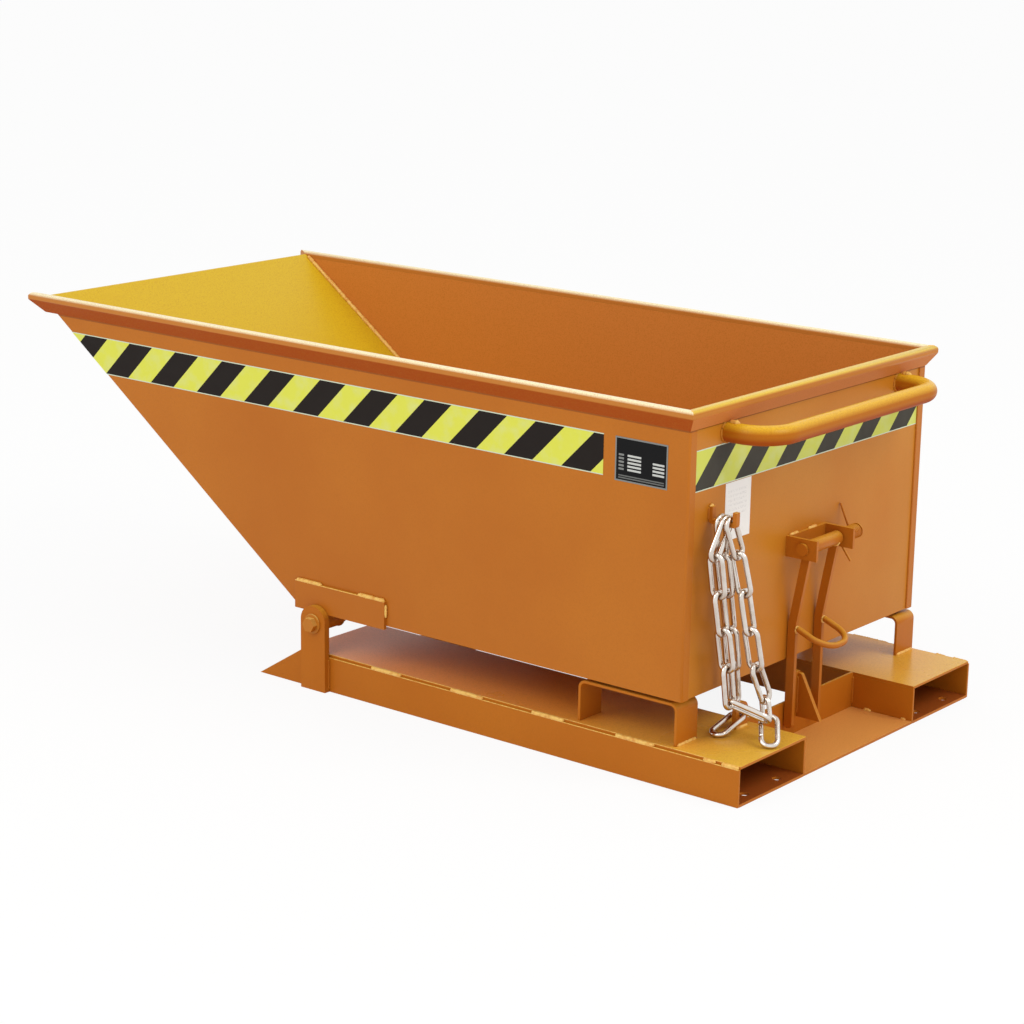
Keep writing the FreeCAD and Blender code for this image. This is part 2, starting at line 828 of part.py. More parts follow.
latch_x = wall_face - size.latch_pin_reach
pin_radius = size.latch_pin_diameter / 2
pin_bore = pin_radius + size.running_clearance
sleeve_length = size.arm_spread + size.arm_plate + size.sleeve_play * 2
half_bracket = sleeve_length / 2 + size.bracket_play + size.bracket_plate
right_ear = size.latch_offset - half_bracket
left_ear = size.latch_offset + half_bracket
spring_radius = pin_radius + size.spring_play + size.spring_wire / 2
spring_pitch = size.spring_wire + size.spring_gap
spring_first = right_ear - size.seat_gap - size.spring_wire / 2
spring_turned = SPRING_TURNS + (SPRING_END_ANGLE - SPRING_START_ANGLE) / 360
spring_last = spring_first - spring_pitch * spring_turned
retainer_face = spring_last - size.spring_wire / 2 - size.seat_gap


def latch_bracket():
    """Channel on the rear wall whose two ears carry the latch pin."""
    back = wall_face - size.bracket_reach
    web = wall_face - size.bracket_plate
    low_inside = right_ear + size.bracket_plate
    high_inside = left_ear - size.bracket_plate
    outline = [(wall_face, right_ear), (wall_face, left_ear), (back, left_ear), (back, high_inside)]
    outline += [(web, high_inside), (web, low_inside), (back, low_inside), (back, right_ear)]
    bracket = plate("latch_bracket", "XY", centred(size.latch_pin_height, size.bracket_height), [outline])
    hole = (latch_x, size.latch_pin_height, pin_bore)
    carve(bracket, "XZ", (right_ear, half_bracket * 2), circles=[hole])


def latch_pin():
    low = retainer_face - size.retainer_plate - size.latch_pin_tail
    head_seat_y = left_ear + size.seat_gap
    shank = (latch_x, size.latch_pin_height, pin_radius)
    head = (latch_x, size.latch_pin_height, size.latch_pin_head_diameter / 2)
    pin_body = plate("latch_pin", "XZ", (low, head_seat_y - low), circles=[shank])
    add(pin_body, "XZ", (head_seat_y, size.latch_pin_head), circles=[head])
    rings = [(latch_x, size.latch_pin_height, size.retainer_diameter / 2)]
    rings += [(latch_x, size.latch_pin_height, pin_bore)]
    span = (retainer_face - size.retainer_plate, size.retainer_plate)
    plate("spring_retainer", "XZ", span, circles=rings)


# Torsion spring on the latch pin

def biarc(start, start_way, end, end_way):
    """Two arcs that join in line, from one point and direction to another."""
    reach = end - start
    ways = start_way + end_way
    bend = 1 - start_way.dot(end_way)
    along = reach.dot(ways)
    handle = (math.sqrt(along ** 2 + 2 * bend * reach.dot(reach)) - along) / (2 * bend)
    first_corner = start + start_way * handle
    second_corner = end - end_way * handle
    joint = (first_corner + second_corner) * 0.5
    return [arc_between(start, first_corner, joint), arc_between(joint, second_corner, end)]


def arc_between(start, corner, end):
    """Arc from start to end whose end tangents meet at the corner."""
    middle = (start + end) * 0.5
    half_chord = (end - start).Length / 2
    lean = corner - middle
    half_turn = math.atan2(lean.Length, half_chord)
    crest = middle + lean.normalize() * (half_chord * math.tan(half_turn / 2))
    return Part.Arc(start, crest, end).toShape()


def least_self_gap(wire, thickness, turn_length):
    """Least gap between parts of a wound wire that lie more than half a turn apart along it."""
    points = wire.discretize(Distance=thickness / 4)
    step = wire.Length / (len(points) - 1)
    apart = int(turn_length / 2 / step)
    least = min(
        (points[second] - points[first]).Length
        for first in range(len(points))
        for second in range(first + apart, len(points))
    )
    return least - thickness


def latch_spring():
    """Wire from the rear wall down to the coil's far end, round the pin to the ear, and out as a tail."""
    radius = spring_radius.value
    wire = size.spring_wire.value
    pitch = spring_pitch.value
    centre = FreeCAD.Vector(latch_x.value, spring_last.value, size.latch_pin_height.value)
    slope = pitch / (2 * math.pi * radius)

    def coil_point(angle):
        turned = math.radians(angle)
        wound = pitch * (angle - SPRING_START_ANGLE) / 360
        return centre + FreeCAD.Vector(radius * math.cos(turned), wound, -radius * math.sin(turned))

    def coil_way(angle, climb):
        turned = math.radians(angle)
        return FreeCAD.Vector(-math.sin(turned), climb, -math.cos(turned)).normalize()

    last_angle = SPRING_END_ANGLE + 360 * SPRING_TURNS
    quarter_count = 4 * SPRING_TURNS
    angles = [SPRING_START_ANGLE + 90 * number for number in range(quarter_count)] + [last_angle]
    ways = [coil_way(angle, slope) for angle in angles]
    ways[0] = coil_way(angles[0], 0)
    ways[-1] = coil_way(angles[-1], 0)
    wall_reach = wall_face.value - size.seat_gap.value - wire / 2 - coil_point(angles[0]).x
    start = coil_point(angles[0]) - ways[0] * (wall_reach / -ways[0].x)
    end = coil_point(last_angle) + ways[-1] * size.spring_tail_length.value

    edges = [Part.LineSegment(start, coil_point(angles[0])).toShape()]
    for number in range(len(angles) - 1):
        here = coil_point(angles[number])
        following = coil_point(angles[number + 1])
        edges += biarc(here, ways[number], following, ways[number + 1])
    edges.append(Part.LineSegment(coil_point(last_angle), end).toShape())
    path = Part.Wire(edges)
    section = Part.Wire(Part.Circle(start, ways[0], wire / 2).toShape())
    spring = doc.addObject("Part::Feature", "latch_spring")
    spring.Label = "latch_spring"
    spring.Shape = path.makePipeShell([section], True, False)
    gap = least_self_gap(path, wire, 2 * math.pi * radius)
    print(f"latch_spring: least gap to itself {gap:.2f} mm")
    print(f"latch_spring: volume share {spring.Shape.Volume / (path.Length * math.pi * wire ** 2 / 4):.4f}")
    if gap <= wire * LEAST_SPRING_GAP_SHARE:
        raise ValueError("the spring's turns touch")


# Latch lever

arm_x = wall_face - size.arm_wall_gap - size.arm_width / 2


def latch_lever():
    """Sleeve on the latch pin, two arms hung from it and a foot loop across the arms."""
    rings = [(latch_x, size.latch_pin_height, size.sleeve_diameter / 2)]
    rings += [(latch_x, size.latch_pin_height, pin_bore)]
    plate("latch_sleeve", "XZ", centred(size.latch_offset, sleeve_length), circles=rings)

    half = size.arm_width / 2
    outline = [(latch_x - half, size.latch_pin_height), (latch_x + half, size.latch_pin_height)]
    outline += [(arm_x + half, size.arm_knee_height), (arm_x + half, size.arm_bottom)]
    outline += [(arm_x - half, size.arm_bottom), (arm_x - half, size.arm_knee_height)]
    for name, middle in (("left", lever_high), ("right", lever_low)):
        span = centred(middle, size.arm_plate)
        arm = plate(f"{name}_lever_arm", "XZ", span, [outline])
        round_edges(arm, "XZ", outline[3:5], half - size.arm_end_flat / 2)
        carve(arm, "XZ", span, circles=[(latch_x, size.latch_pin_height, size.sleeve_diameter / 2)])

    radius = size.pedal_rod / 2
    bend = (size.arm_spread - size.pedal_flat) / 2
    loop = bent_rod("pedal_loop", size.arm_spread / 2, size.pedal_reach, bend, radius)
    loop.Placement.Rotation = FreeCAD.Rotation(FreeCAD.Vector(0, 1, 0), -PEDAL_TILT)
    edge_share = math.sin(math.radians(PEDAL_TILT))
    pedal_height = size.arm_knee_height - size.pedal_drop
    place(loop, arm_x - half - radius * edge_share, size.latch_offset, pedal_height)


# Chain and snap hook

link_inner_radius = (size.link_width - size.link_wire * 2) / 2
hung_z = hook_top - leg_under(link_inner_radius - size.hung_slack, hook_width / 2)


def half_ring(bend, wire, height, sign):
    """Half of a bent round bar, above or below the origin, flat in the XZ plane."""
    ring = Part.makeTorus(bend, wire / 2, FreeCAD.Vector(), FreeCAD.Vector(0, 0, 1), -180, 180, 180)
    turn = FreeCAD.Rotation(FreeCAD.Vector(1, 0, 0), 90 * sign)
    ring.Placement = FreeCAD.Placement(FreeCAD.Vector(0, 0, height * sign), turn)
    return ring


def link_solid(length, width, wire):
    """Round bar bent to a closed link about the origin: long along Z, flat in the XZ plane."""
    bend = (width - wire) / 2
    half = (length - width) / 2
    pieces = [half_ring(bend, wire, half, sign) for sign in (1, -1)]
    pieces += [Part.makeCylinder(wire / 2, half * 2, FreeCAD.Vector(bend * sign, 0, -half)) for sign in (1, -1)]
    return pieces[0].multiFuse(pieces[1:])


def snap_solid(length, width, wire, opening):
    """Like a link, but its +X side is open in the middle, where the gate lies."""
    bend = (width - wire) / 2
    half = (length - width) / 2
    stub = half - opening / 2
    pieces = [half_ring(bend, wire, half, sign) for sign in (1, -1)]
    pieces.append(Part.makeCylinder(wire / 2, half * 2, FreeCAD.Vector(-bend, 0, -half)))
    for start in (-half, opening / 2):
        pieces.append(Part.makeCylinder(wire / 2, stub, FreeCAD.Vector(bend, 0, start)))
    return pieces[0].multiFuse(pieces[1:])


def round_ended_rod(radius, length):
    """Rod with round ends about the origin, along Z."""
    half = length / 2 - radius
    slant = radius * math.sqrt(0.5)
    corners = [
        FreeCAD.Vector(0, 0, -half - radius), FreeCAD.Vector(radius, 0, -half),
        FreeCAD.Vector(radius, 0, half), FreeCAD.Vector(0, 0, half + radius),
    ]
    outline = Part.Wire([
        Part.Arc(corners[0], FreeCAD.Vector(slant, 0, -half - slant), corners[1]).toShape(),
        Part.LineSegment(corners[1], corners[2]).toShape(),
        Part.Arc(corners[2], FreeCAD.Vector(slant, 0, half + slant), corners[3]).toShape(),
        Part.LineSegment(corners[3], corners[0]).toShape(),
    ])
    return Part.Face(outline).revolve(FreeCAD.Vector(), FreeCAD.Vector(0, 0, 1), 360)


def lean_way(towards_left, rearward):
    lean = FreeCAD.Vector(-math.tan(math.radians(rearward)), math.tan(math.radians(towards_left)), -1)
    return lean.normalize()


def level_way(angle):
    """Level direction, turned from +Y towards +X."""
    return FreeCAD.Vector(math.sin(math.radians(angle)), math.cos(math.radians(angle)), 0)


class Link:
    """A link in its place: its form, its middle, the way its lower end points and the way its width lies."""

    def __init__(self, form, middle, way, width_way):
        self.length, self.width, self.wire = form
        self.middle = middle
        self.way = way
        self.side = (width_way - way * width_way.dot(way)).normalize()

    def placement(self):
        up = self.way * -1
        return FreeCAD.Placement(self.middle, FreeCAD.Rotation(self.side, up.cross(self.side), up, "ZXY"))

    def seat_for(self, way):
        """Middle of the slack inside the lower bend, for a next link that hangs along a way."""
        inner = (self.way * way.dot(self.way) + self.side * way.dot(self.side)).normalize()
        bend_middle = self.middle + self.way * ((self.length - self.width) / 2)
        lowest = bend_middle + inner * ((self.width - self.wire) / 2)
        return lowest - way * ((self.wire + size.link_slack.value) / 2)

    def next_link(self, form, way, width_way):
        length, width, wire = form
        middle = self.seat_for(way) + way * (length / 2 - wire - size.link_slack.value / 2)
        return Link(form, middle, way, width_way)


link_form = (size.link_length.value, size.link_width.value, size.link_wire.value)
eye_form = (size.eye_length.value, size.eye_width.value, size.eye_wire.value)
snap_form = (size.snap_length.value, size.snap_width.value, size.link_wire.value)


def solid_node(label, shape):
    node = doc.addObject("Part::Feature", label)
    node.Label = label
    node.Shape = shape


def placed(shape, placement):
    shape.Placement = placement
    return shape


def anchor_link():
    """Link through the lug's hole, with its far end down on the pocket lid."""
    wire = size.link_wire.value
    apex = (size.link_length.value - wire) / 2
    near_z = (lug_hole_z - size.lug_hole_diameter / 2 + size.link_wire / 2 + size.hung_slack).value
    far_z = (size.pocket_height + size.hung_slack + size.link_wire / 2).value
    drop = near_z - far_z
    way = FreeCAD.Vector(0, math.sqrt((apex * 2) ** 2 - drop ** 2), -drop).normalize()
    near = FreeCAD.Vector((lug_x + size.lug_plate / 2).value, lug_y.value, near_z)
    link = Link(link_form, near + way * apex, way, FreeCAD.Vector(1, 0, 0))
    solid_node("anchor_link", placed(link_solid(*link_form), link.placement()))


def hung_chain():
    """Three strands over the hook; returns the last link of the first strand."""
    width_ways = (FreeCAD.Vector(0, 1, 0), FreeCAD.Vector(1, 0, 0))
    arc_reach = (size.link_length.value - size.link_width.value) / 2
    links = []
    last_links = []
    for number, leans in enumerate(STRAND_LEANS):
        strand_x = hook_tip_inside + size.link_wire / 2 + size.strand_gap
        strand_x += (size.link_wire + size.strand_gap) * number
        start = FreeCAD.Vector(strand_x.value, hook_y.value, hung_z.value)
        way = lean_way(*leans[0])
        link = Link(link_form, start + way * arc_reach, way, width_ways[0])
        links.append(link)
        for step, lean in enumerate(leans[1:], 1):
            link = link.next_link(link_form, lean_way(*lean), width_ways[step % 2])
            links.append(link)
        last_links.append(link)
    solids = [placed(link_solid(*link_form), link.placement()) for link in links]
    solid_node("hung_chain", Part.makeCompound(solids))
    return last_links[0]


def snap_way(eye):
    """Direction of the snap hook whose upper bend hangs in the eye and whose lower bend lies on the lid."""
    wire = size.link_wire.value
    upper_bend = wire + size.link_slack.value / 2
    end_reach = size.snap_length.value - upper_bend - wire / 2
    lid = size.pocket_height.value + size.hung_slack.value + wire / 2
    heading = level_way(SNAP_HEADING - 90)
    way = eye.way
    for _ in range(SNAP_PASSES):
        drop = eye.seat_for(way).z - lid
        way = heading * math.sqrt(end_reach ** 2 - drop ** 2) - FreeCAD.Vector(0, 0, drop)
        way.normalize()
    return way


def snap_hook(last_link):
    """Eye link, then a hook whose lower end rests on the pocket lid, with its sprung gate."""
    eye = last_link.next_link(eye_form, lean_way(*EYE_LEAN), level_way(90 + SNAP_HEADING / 2))
    hook = eye.next_link(snap_form, snap_way(eye), level_way(SNAP_HEADING))
    gate_length = size.snap_gate_length.value
    opening = gate_length + size.hung_slack.value * 2
    eye_shape = placed(link_solid(*eye_form), eye.placement())
    hook_shape = placed(snap_solid(*snap_form, opening), hook.placement())
    solid_node("snap_hook", Part.makeCompound([eye_shape, hook_shape]))

    gate_radius = size.snap_gate_rod.value / 2
    turn = hook.placement().Rotation
    middle = hook.middle + hook.side * ((size.snap_width.value - size.link_wire.value) / 2)
    gate = round_ended_rod(gate_radius, gate_length)
    solid_node("snap_hook_gate", placed(gate, FreeCAD.Placement(middle, turn)))
    hinge = middle + hook.way * (gate_length / 2 - gate_radius)
    axis = turn.multVec(FreeCAD.Vector(0, 1, 0))
    hinge_text = [round(part, 3) for part in hinge]
    axis_text = [round(part, 5) for part in axis]
    print("snap_hook_gate: hinge", hinge_text, "axis", axis_text)


# Tapes, type plate and paper label

def wall_trim():
    tape_top = rail_low - size.side_tape_drop
    tape_bottom = tape_top - size.side_tape_height
    plate_span = (skip_rear + size.type_plate_inset, size.type_plate_length)
    tape_rear = plate_span[0] + size.type_plate_length + size.side_tape_gap
    outline = [(tape_rear, tape_bottom), (chute_edge(tape_bottom), tape_bottom)]
    outline += [(chute_edge(tape_top), tape_top), (tape_rear, tape_top)]
    for name, sign in SIDES:
        skin = either_side(sign, half_skip, half_skip + size.trim_thickness)
        plate(f"{name}_hazard_tape", "XZ", skin, [outline])
    plate_height = (tape_top - size.type_plate_height, size.type_plate_height)
    block("type_plate", plate_span, (half_skip, size.trim_thickness), plate_height)
    rear_skin = (wall_face - size.trim_thickness, size.trim_thickness)
    rear_tape_width = (flange_inside - size.rear_tape_margin) * 2
    rear_height = (rear_tape_bottom, size.rear_tape_height)
    block("rear_hazard_tape", rear_skin, centred(ZERO, rear_tape_width), rear_height)
    label_height = (rear_tape_bottom - size.label_gap - size.label_height, size.label_height)
    label_y = flange_inside - size.label_inset
    block("paper_label", rear_skin, centred(label_y, size.label_width), label_height)


# Check, then write every piece

for side_name, side_sign in SIDES:
    fork_pocket(side_name, side_sign)
    pivot_upright(side_name, side_sign)
    pivot_bolt(side_name, side_sign)
    pivot_bush(side_name, side_sign)
    rest_strap(side_name, side_sign)
    side_wall(side_name, side_sign)
    side_rail(side_name, side_sign)
    pivot_bar(side_name, side_sign)
cross_plates()
pivot_washers()
pivot_nuts()
rest_pads()
latch_catch()
chain_lug()
inner_sheets()
rear_rail()
push_handle()
chain_hook()
latch_bracket()
latch_pin()
latch_spring()
latch_lever()
anchor_link()
snap_hook(hung_chain())
wall_trim()
doc.recompute()

inner_pieces = set()
for thing in doc.Objects:
    if thing.TypeId == "Part::Compound":
        inner_pieces.update(piece.Name for piece in thing.Links)
pieces = []
for thing in doc.Objects:
    if "Invalid" in thing.State or "Error" in thing.State:
        raise ValueError(f"{thing.Label} failed: {thing.State}")
    top_level = thing.TypeId == "PartDesign::Body" or thing.TypeId.startswith("Part::")
    if top_level and thing.Name not in inner_pieces:
        pieces.append(thing)
for piece in pieces:
    if piece.Shape.isNull() or not piece.Shape.isValid():
        raise ValueError(f"{piece.Label} has no valid shape")
os.makedirs("parts", exist_ok=True)
for piece in pieces:
    piece.Shape.exportStep(f"parts/{piece.Label}.step")
print(f"{len(pieces)} pieces, overall length {total_length.value:.1f} mm")
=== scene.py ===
"""Looks of the forklift tipping skip: painted steel, welds, tapes and a zinc chain.

Metres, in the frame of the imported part: +X is the tipping direction, +Y the left side, +Z up.
"""
import json
import math
import random

import bmesh
import bpy
from mathutils import Matrix, Vector


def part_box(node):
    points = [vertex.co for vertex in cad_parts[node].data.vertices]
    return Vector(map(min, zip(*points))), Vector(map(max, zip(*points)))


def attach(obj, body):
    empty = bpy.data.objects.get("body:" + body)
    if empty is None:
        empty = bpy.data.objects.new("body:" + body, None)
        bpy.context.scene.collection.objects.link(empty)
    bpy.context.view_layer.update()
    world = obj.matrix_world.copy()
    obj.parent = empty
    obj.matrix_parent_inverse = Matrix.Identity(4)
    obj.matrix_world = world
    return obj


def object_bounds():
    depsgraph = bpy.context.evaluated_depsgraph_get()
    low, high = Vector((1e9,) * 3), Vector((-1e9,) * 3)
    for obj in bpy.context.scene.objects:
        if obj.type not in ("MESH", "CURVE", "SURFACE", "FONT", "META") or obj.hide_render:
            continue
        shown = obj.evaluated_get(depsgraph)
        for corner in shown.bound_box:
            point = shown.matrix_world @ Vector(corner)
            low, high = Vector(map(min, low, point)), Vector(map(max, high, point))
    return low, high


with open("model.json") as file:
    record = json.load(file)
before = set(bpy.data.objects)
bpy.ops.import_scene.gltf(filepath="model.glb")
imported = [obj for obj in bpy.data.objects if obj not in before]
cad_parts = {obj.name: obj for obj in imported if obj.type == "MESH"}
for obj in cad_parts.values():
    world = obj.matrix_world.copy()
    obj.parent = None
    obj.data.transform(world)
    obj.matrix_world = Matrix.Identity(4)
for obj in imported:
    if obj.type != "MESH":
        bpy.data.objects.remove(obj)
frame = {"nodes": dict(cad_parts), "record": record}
cad_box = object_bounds()
NODES = frame["nodes"]
REAR = cad_box[0].x
MM = 0.001
SIDES = (("left", 1), ("right", -1))
ACROSS = Vector((0, 1, 0))
UP = Vector((0, 0, 1))


def srgb(red, green, blue):
    """Colour as seen on a screen, 0 to 255, turned into the renderer's linear values."""
    channels = []
    for value in (red, green, blue):
        share = value / 255
        channels.append(share / 12.92 if share <= 0.04045 else ((share + 0.055) / 1.055) ** 2.4)
    return (*channels, 1.0)


# Colours

ORANGE = srgb(187, 109, 25)
# Deeper orange of the paint's random clouds, and the default painted shade on faces that look down
ORANGE_DEEP = srgb(180, 101, 22)
# Painted light on the inner faces of the walls
INSIDE_PAINTED_LIGHT = srgb(208, 130, 56)
# Painted shadow below the rim rails
SHADOW_BROWN = srgb(110, 48, 16)
# Painted light: a lighter, yellower copy of the orange for the rear wall, which faces the key lamp
REAR_LIT_ORANGE = srgb(194, 124, 34)
# Painted light: golden tone on faces that look up
LIT_GOLD_TOP = srgb(208, 146, 44)
# Painted light on the pocket lids: brown brightened below the skip, golden painted reflection at the rear,
# paler painted light in front
LID_BROWN = srgb(228, 142, 56)
LID_REFLECTION_GOLD = srgb(228, 180, 64)
LID_FRONT_PAINTED_LIGHT = srgb(236, 148, 78)
# Painted light on the rear cross plate's faces that look up
CROSS_LIT_TOP = srgb(224, 156, 80)
# Painted shade: darker tone on the pocket floors' faces that look up, inside the pockets
POCKET_FLOOR_SHADE = srgb(150, 74, 28)
# Painted shade on faces that look down
UNDERSIDE_SHADE = srgb(166, 75, 22)
# Painted light: yellow on the chute's face that looks up, the same orange paint brightly lit
CHUTE_LIT_YELLOW = srgb(220, 186, 32)
RIM_SIDE = srgb(192, 120, 46)
# Painted highlight on the rim rails' faces that look up
RIM_TOP_HIGHLIGHT = srgb(248, 234, 190)
REAR_RIM_TOP_HIGHLIGHT = srgb(224, 190, 62)
# Painted shade on the rear rail's faces that look down, lighter than on the side rails
REAR_RIM_UNDERSIDE_SHADE = srgb(204, 124, 64)
# Painted shade on the push handle's sides and painted highlight on its top
HANDLE_SHADED_SIDE = srgb(178, 102, 18)
HANDLE_TOP_HIGHLIGHT = srgb(226, 176, 40)
# Painted light: the bolts' orange made a little lighter, with painted highlight on their tops
BOLT_LIT_GOLD = srgb(188, 116, 34)
BOLT_TOP_HIGHLIGHT = srgb(236, 196, 104)
# Painted highlight on the weld beads
WELD_HIGHLIGHT_GOLD = srgb(238, 192, 98)
WELD_ORANGE = srgb(214, 142, 50)
TAPE_BLACK = srgb(34, 28, 25)
TAPE_LIME = srgb(216, 218, 84)
# Painted light and painted shade on the rear tape: its black lighter, its lime darker and greener than the
# same tape on the sides
REAR_TAPE_LIT_BLACK = srgb(66, 62, 54)
REAR_TAPE_SHADED_LIME = srgb(204, 208, 94)
TAPE_EDGE = srgb(205, 214, 190)
PLATE_BLACK = srgb(16, 16, 17)
PLATE_PRINT = srgb(196, 198, 194)
PAPER_WHITE = srgb(236, 232, 228)
PAPER_LINE = srgb(190, 186, 184)
ZINC = srgb(230, 224, 216)
ZINC_DULL = srgb(212, 203, 193)
ZINC_SHADE = srgb(180, 154, 134)
RUBBER = srgb(30, 29, 28)
RUBBER_DUST = srgb(52, 50, 47)


class Graph:
    """Builds one material's nodes."""

    def __init__(self, name):
        self.material = bpy.data.materials.new(name)
        self.material.use_nodes = True
        self.tree = self.material.node_tree
        self.shader = self.tree.nodes["Principled BSDF"]
        self.coordinates = self.node("ShaderNodeTexCoord")

    def node(self, kind, **settings):
        made = self.tree.nodes.new(kind)
        for name, value in settings.items():
            setattr(made, name, value)
        return made

    def feed(self, socket, value):
        """Links an output to a socket, or sets the socket's own value."""
        if isinstance(value, bpy.types.NodeSocket):
            self.tree.links.new(value, socket)
        else:
            socket.default_value = value

    def math(self, operation, first, second=0.0):
        made = self.node("ShaderNodeMath", operation=operation)
        self.feed(made.inputs[0], first)
        self.feed(made.inputs[1], second)
        return made.outputs[0]

    def mix(self, factor, first, second):
        """Colour between two colours."""
        made = self.node("ShaderNodeMix", data_type="RGBA")
        self.feed(made.inputs["Factor"], factor)
        self.feed(made.inputs[6], first)
        self.feed(made.inputs[7], second)
        return made.outputs[2]

    def remap(self, value, low, high, to_low=0.0, to_high=1.0):
        made = self.node("ShaderNodeMapRange")
        for name, number in (("From Min", low), ("From Max", high), ("To Min", to_low), ("To Max", to_high)):
            made.inputs[name].default_value = number
        self.feed(made.inputs["Value"], value)
        return made.outputs["Result"]

    def noise(self, scale, detail=3.0):
        made = self.node("ShaderNodeTexNoise")
        made.inputs["Scale"].default_value = scale
        made.inputs["Detail"].default_value = detail
        self.feed(made.inputs["Vector"], self.coordinates.outputs["Object"])
        return made.outputs["Fac"]

    def place(self):
        """X, Y and Z of a point in the frame."""
        made = self.node("ShaderNodeSeparateXYZ")
        self.feed(made.inputs[0], self.coordinates.outputs["Object"])
        return made.outputs

    def facing(self):
        """X, Y and Z of the surface's direction at rest."""
        made = self.node("ShaderNodeSeparateXYZ")
        self.feed(made.inputs[0], self.coordinates.outputs["Normal"])
        return made.outputs

    def inside(self, value, low, high):
        """1 between two limits and 0 elsewhere."""
        above = self.math("GREATER_THAN", value, low)
        below = self.math("LESS_THAN", value, high)
        return self.math("MULTIPLY", above, below)

    def bump(self, height, strength, distance):
        made = self.node("ShaderNodeBump")
        made.inputs["Strength"].default_value = strength
        made.inputs["Distance"].default_value = distance
        self.feed(made.inputs["Height"], height)
        self.feed(self.shader.inputs["Normal"], made.outputs["Normal"])

    def set(self, **inputs):
        for name, value in inputs.items():
            self.feed(self.shader.inputs[name.replace("_", " ")], value)


# Noise lies mostly within the first range; the second takes its crests alone

NOISE_RANGE = (0.3, 0.7)
NOISE_CRESTS = (0.45, 0.75)


# Paint: a face that looks straight up has the direction 1, one that looks straight down -1

LOOKS_UP = (0.25, 0.85)
LOOKS_DOWN = (-0.1, -0.5)
LOOKS_INWARD = (-0.05, -0.2)
REAR_WALL_SHARE = 0.3
CLOUD_RANGE = (0.35, 0.7)
SIDE_ROUGH = 0.4
ROUGH_SPREAD = 0.06
UNDER_GLOSS = 0.03
FLECK_SHADE = 0.82
FLECK_SHARE = 0.4
ORANGE_PEEL = 0.4 * MM
SHADOW_LINE = 2.5 * MM
SHADOW_SHARE = 0.6
LID_PATCH = 50 * MM
LID_FADE = 420 * MM
LID_MIDDLE = 450 * MM
LID_FRONT = 850 * MM


def inner_painted_light(graph, place, facing, tone):
    """Painted light: a paler tone on the faces of the walls that look into the skip."""
    sideways = graph.math("MULTIPLY", place[1], facing[1])
    forward = graph.math("MULTIPLY", facing[0], REAR_WALL_SHARE)
    inward = graph.math("SUBTRACT", sideways, forward)
    return graph.mix(graph.remap(inward, *LOOKS_INWARD), tone, INSIDE_PAINTED_LIGHT)


def rail_shadow(graph, height, tone):
    """Painted shadow: a dark line on a wall just under the rim rail's lower edge."""
    rail_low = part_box("left_rim_rail")[0].z
    under_rail = graph.inside(height, rail_low - SHADOW_LINE, rail_low)
    return graph.mix(graph.math("MULTIPLY", under_rail, SHADOW_SHARE), tone, SHADOW_BROWN)


def lid_painted_light(graph, along):
    """Painted light and painted reflection on a pocket lid from above: golden at the rear end, brown below
    the skip and paler in front.
    """
    patches = graph.remap(graph.noise(scale=6.0), *NOISE_RANGE, -LID_PATCH, LID_PATCH)
    place = graph.math("ADD", along, patches)
    tone = graph.mix(graph.remap(place, REAR, REAR + LID_FADE), LID_REFLECTION_GOLD, LID_BROWN)
    return graph.mix(graph.remap(place, REAR + LID_MIDDLE, REAR + LID_FRONT), tone, LID_FRONT_PAINTED_LIGHT)


def paint(name, side, deep, top, gloss=0.2, shine=(0.2, 0.4), under=ORANGE_DEEP, wall=False, lid=False):
    """Semi-gloss paint with a faint orange peel; faces that look up carry painted light and faces that look
    down painted shade, in other tones.

    gloss is the specular level of upright faces; shine is that of faces that look up, with their roughness.
    """
    graph = Graph(name)
    place = graph.place()
    facing = graph.facing()
    upward = facing[2]
    cloud = graph.noise(scale=3.5, detail=4.0)
    tone = graph.mix(graph.remap(cloud, *CLOUD_RANGE), side, deep)
    if wall:
        tone = rail_shadow(graph, place[2], tone)
        tone = inner_painted_light(graph, place, facing, tone)
    if lid:
        top = lid_painted_light(graph, place[0])
    # Painted light on faces that look up, painted shade on faces that look down
    tone = graph.mix(graph.remap(upward, *LOOKS_UP), tone, top)
    tone = graph.mix(graph.remap(upward, *LOOKS_DOWN), tone, under)
    fleck = tuple(FLECK_SHADE * part for part in side[:3]) + (1.0,)
    speckle = graph.noise(scale=420.0, detail=2.0)
    tone = graph.mix(graph.remap(speckle, *NOISE_CRESTS, 0.0, FLECK_SHARE), tone, fleck)
    graph.bump(graph.noise(scale=260.0, detail=2.0), strength=0.12, distance=ORANGE_PEEL)

    top_gloss, top_rough = shine
    low_gloss = graph.remap(upward, *LOOKS_DOWN, gloss, UNDER_GLOSS)
    more_gloss = graph.remap(upward, *LOOKS_UP, 0.0, top_gloss - gloss)
    side_rough = graph.remap(cloud, *NOISE_RANGE, SIDE_ROUGH - ROUGH_SPREAD, SIDE_ROUGH + ROUGH_SPREAD)
    more_rough = graph.remap(upward, *LOOKS_UP, 0.0, top_rough - SIDE_ROUGH)
    specular = graph.math("ADD", low_gloss, more_gloss)
    rough = graph.math("ADD", side_rough, more_rough)
    graph.set(Base_Color=tone, Roughness=rough, Specular_IOR_Level=specular)
    return graph.material


WELD_GRAIN = 0.5 * MM


def weld_paint(name):
    """Paint over weld beads: glossier, in paler and darker patches; the pale gold is painted highlight."""
    graph = Graph(name)
    cloud = graph.noise(scale=140.0, detail=3.0)
    graph.bump(graph.noise(scale=520.0, detail=2.0), strength=0.25, distance=WELD_GRAIN)
    tone = graph.mix(graph.remap(cloud, *NOISE_CRESTS), WELD_HIGHLIGHT_GOLD, WELD_ORANGE)
    graph.set(Base_Color=tone, Roughness=0.3, Specular_IOR_Level=0.4)
    return graph.material


# Zinc and rubber

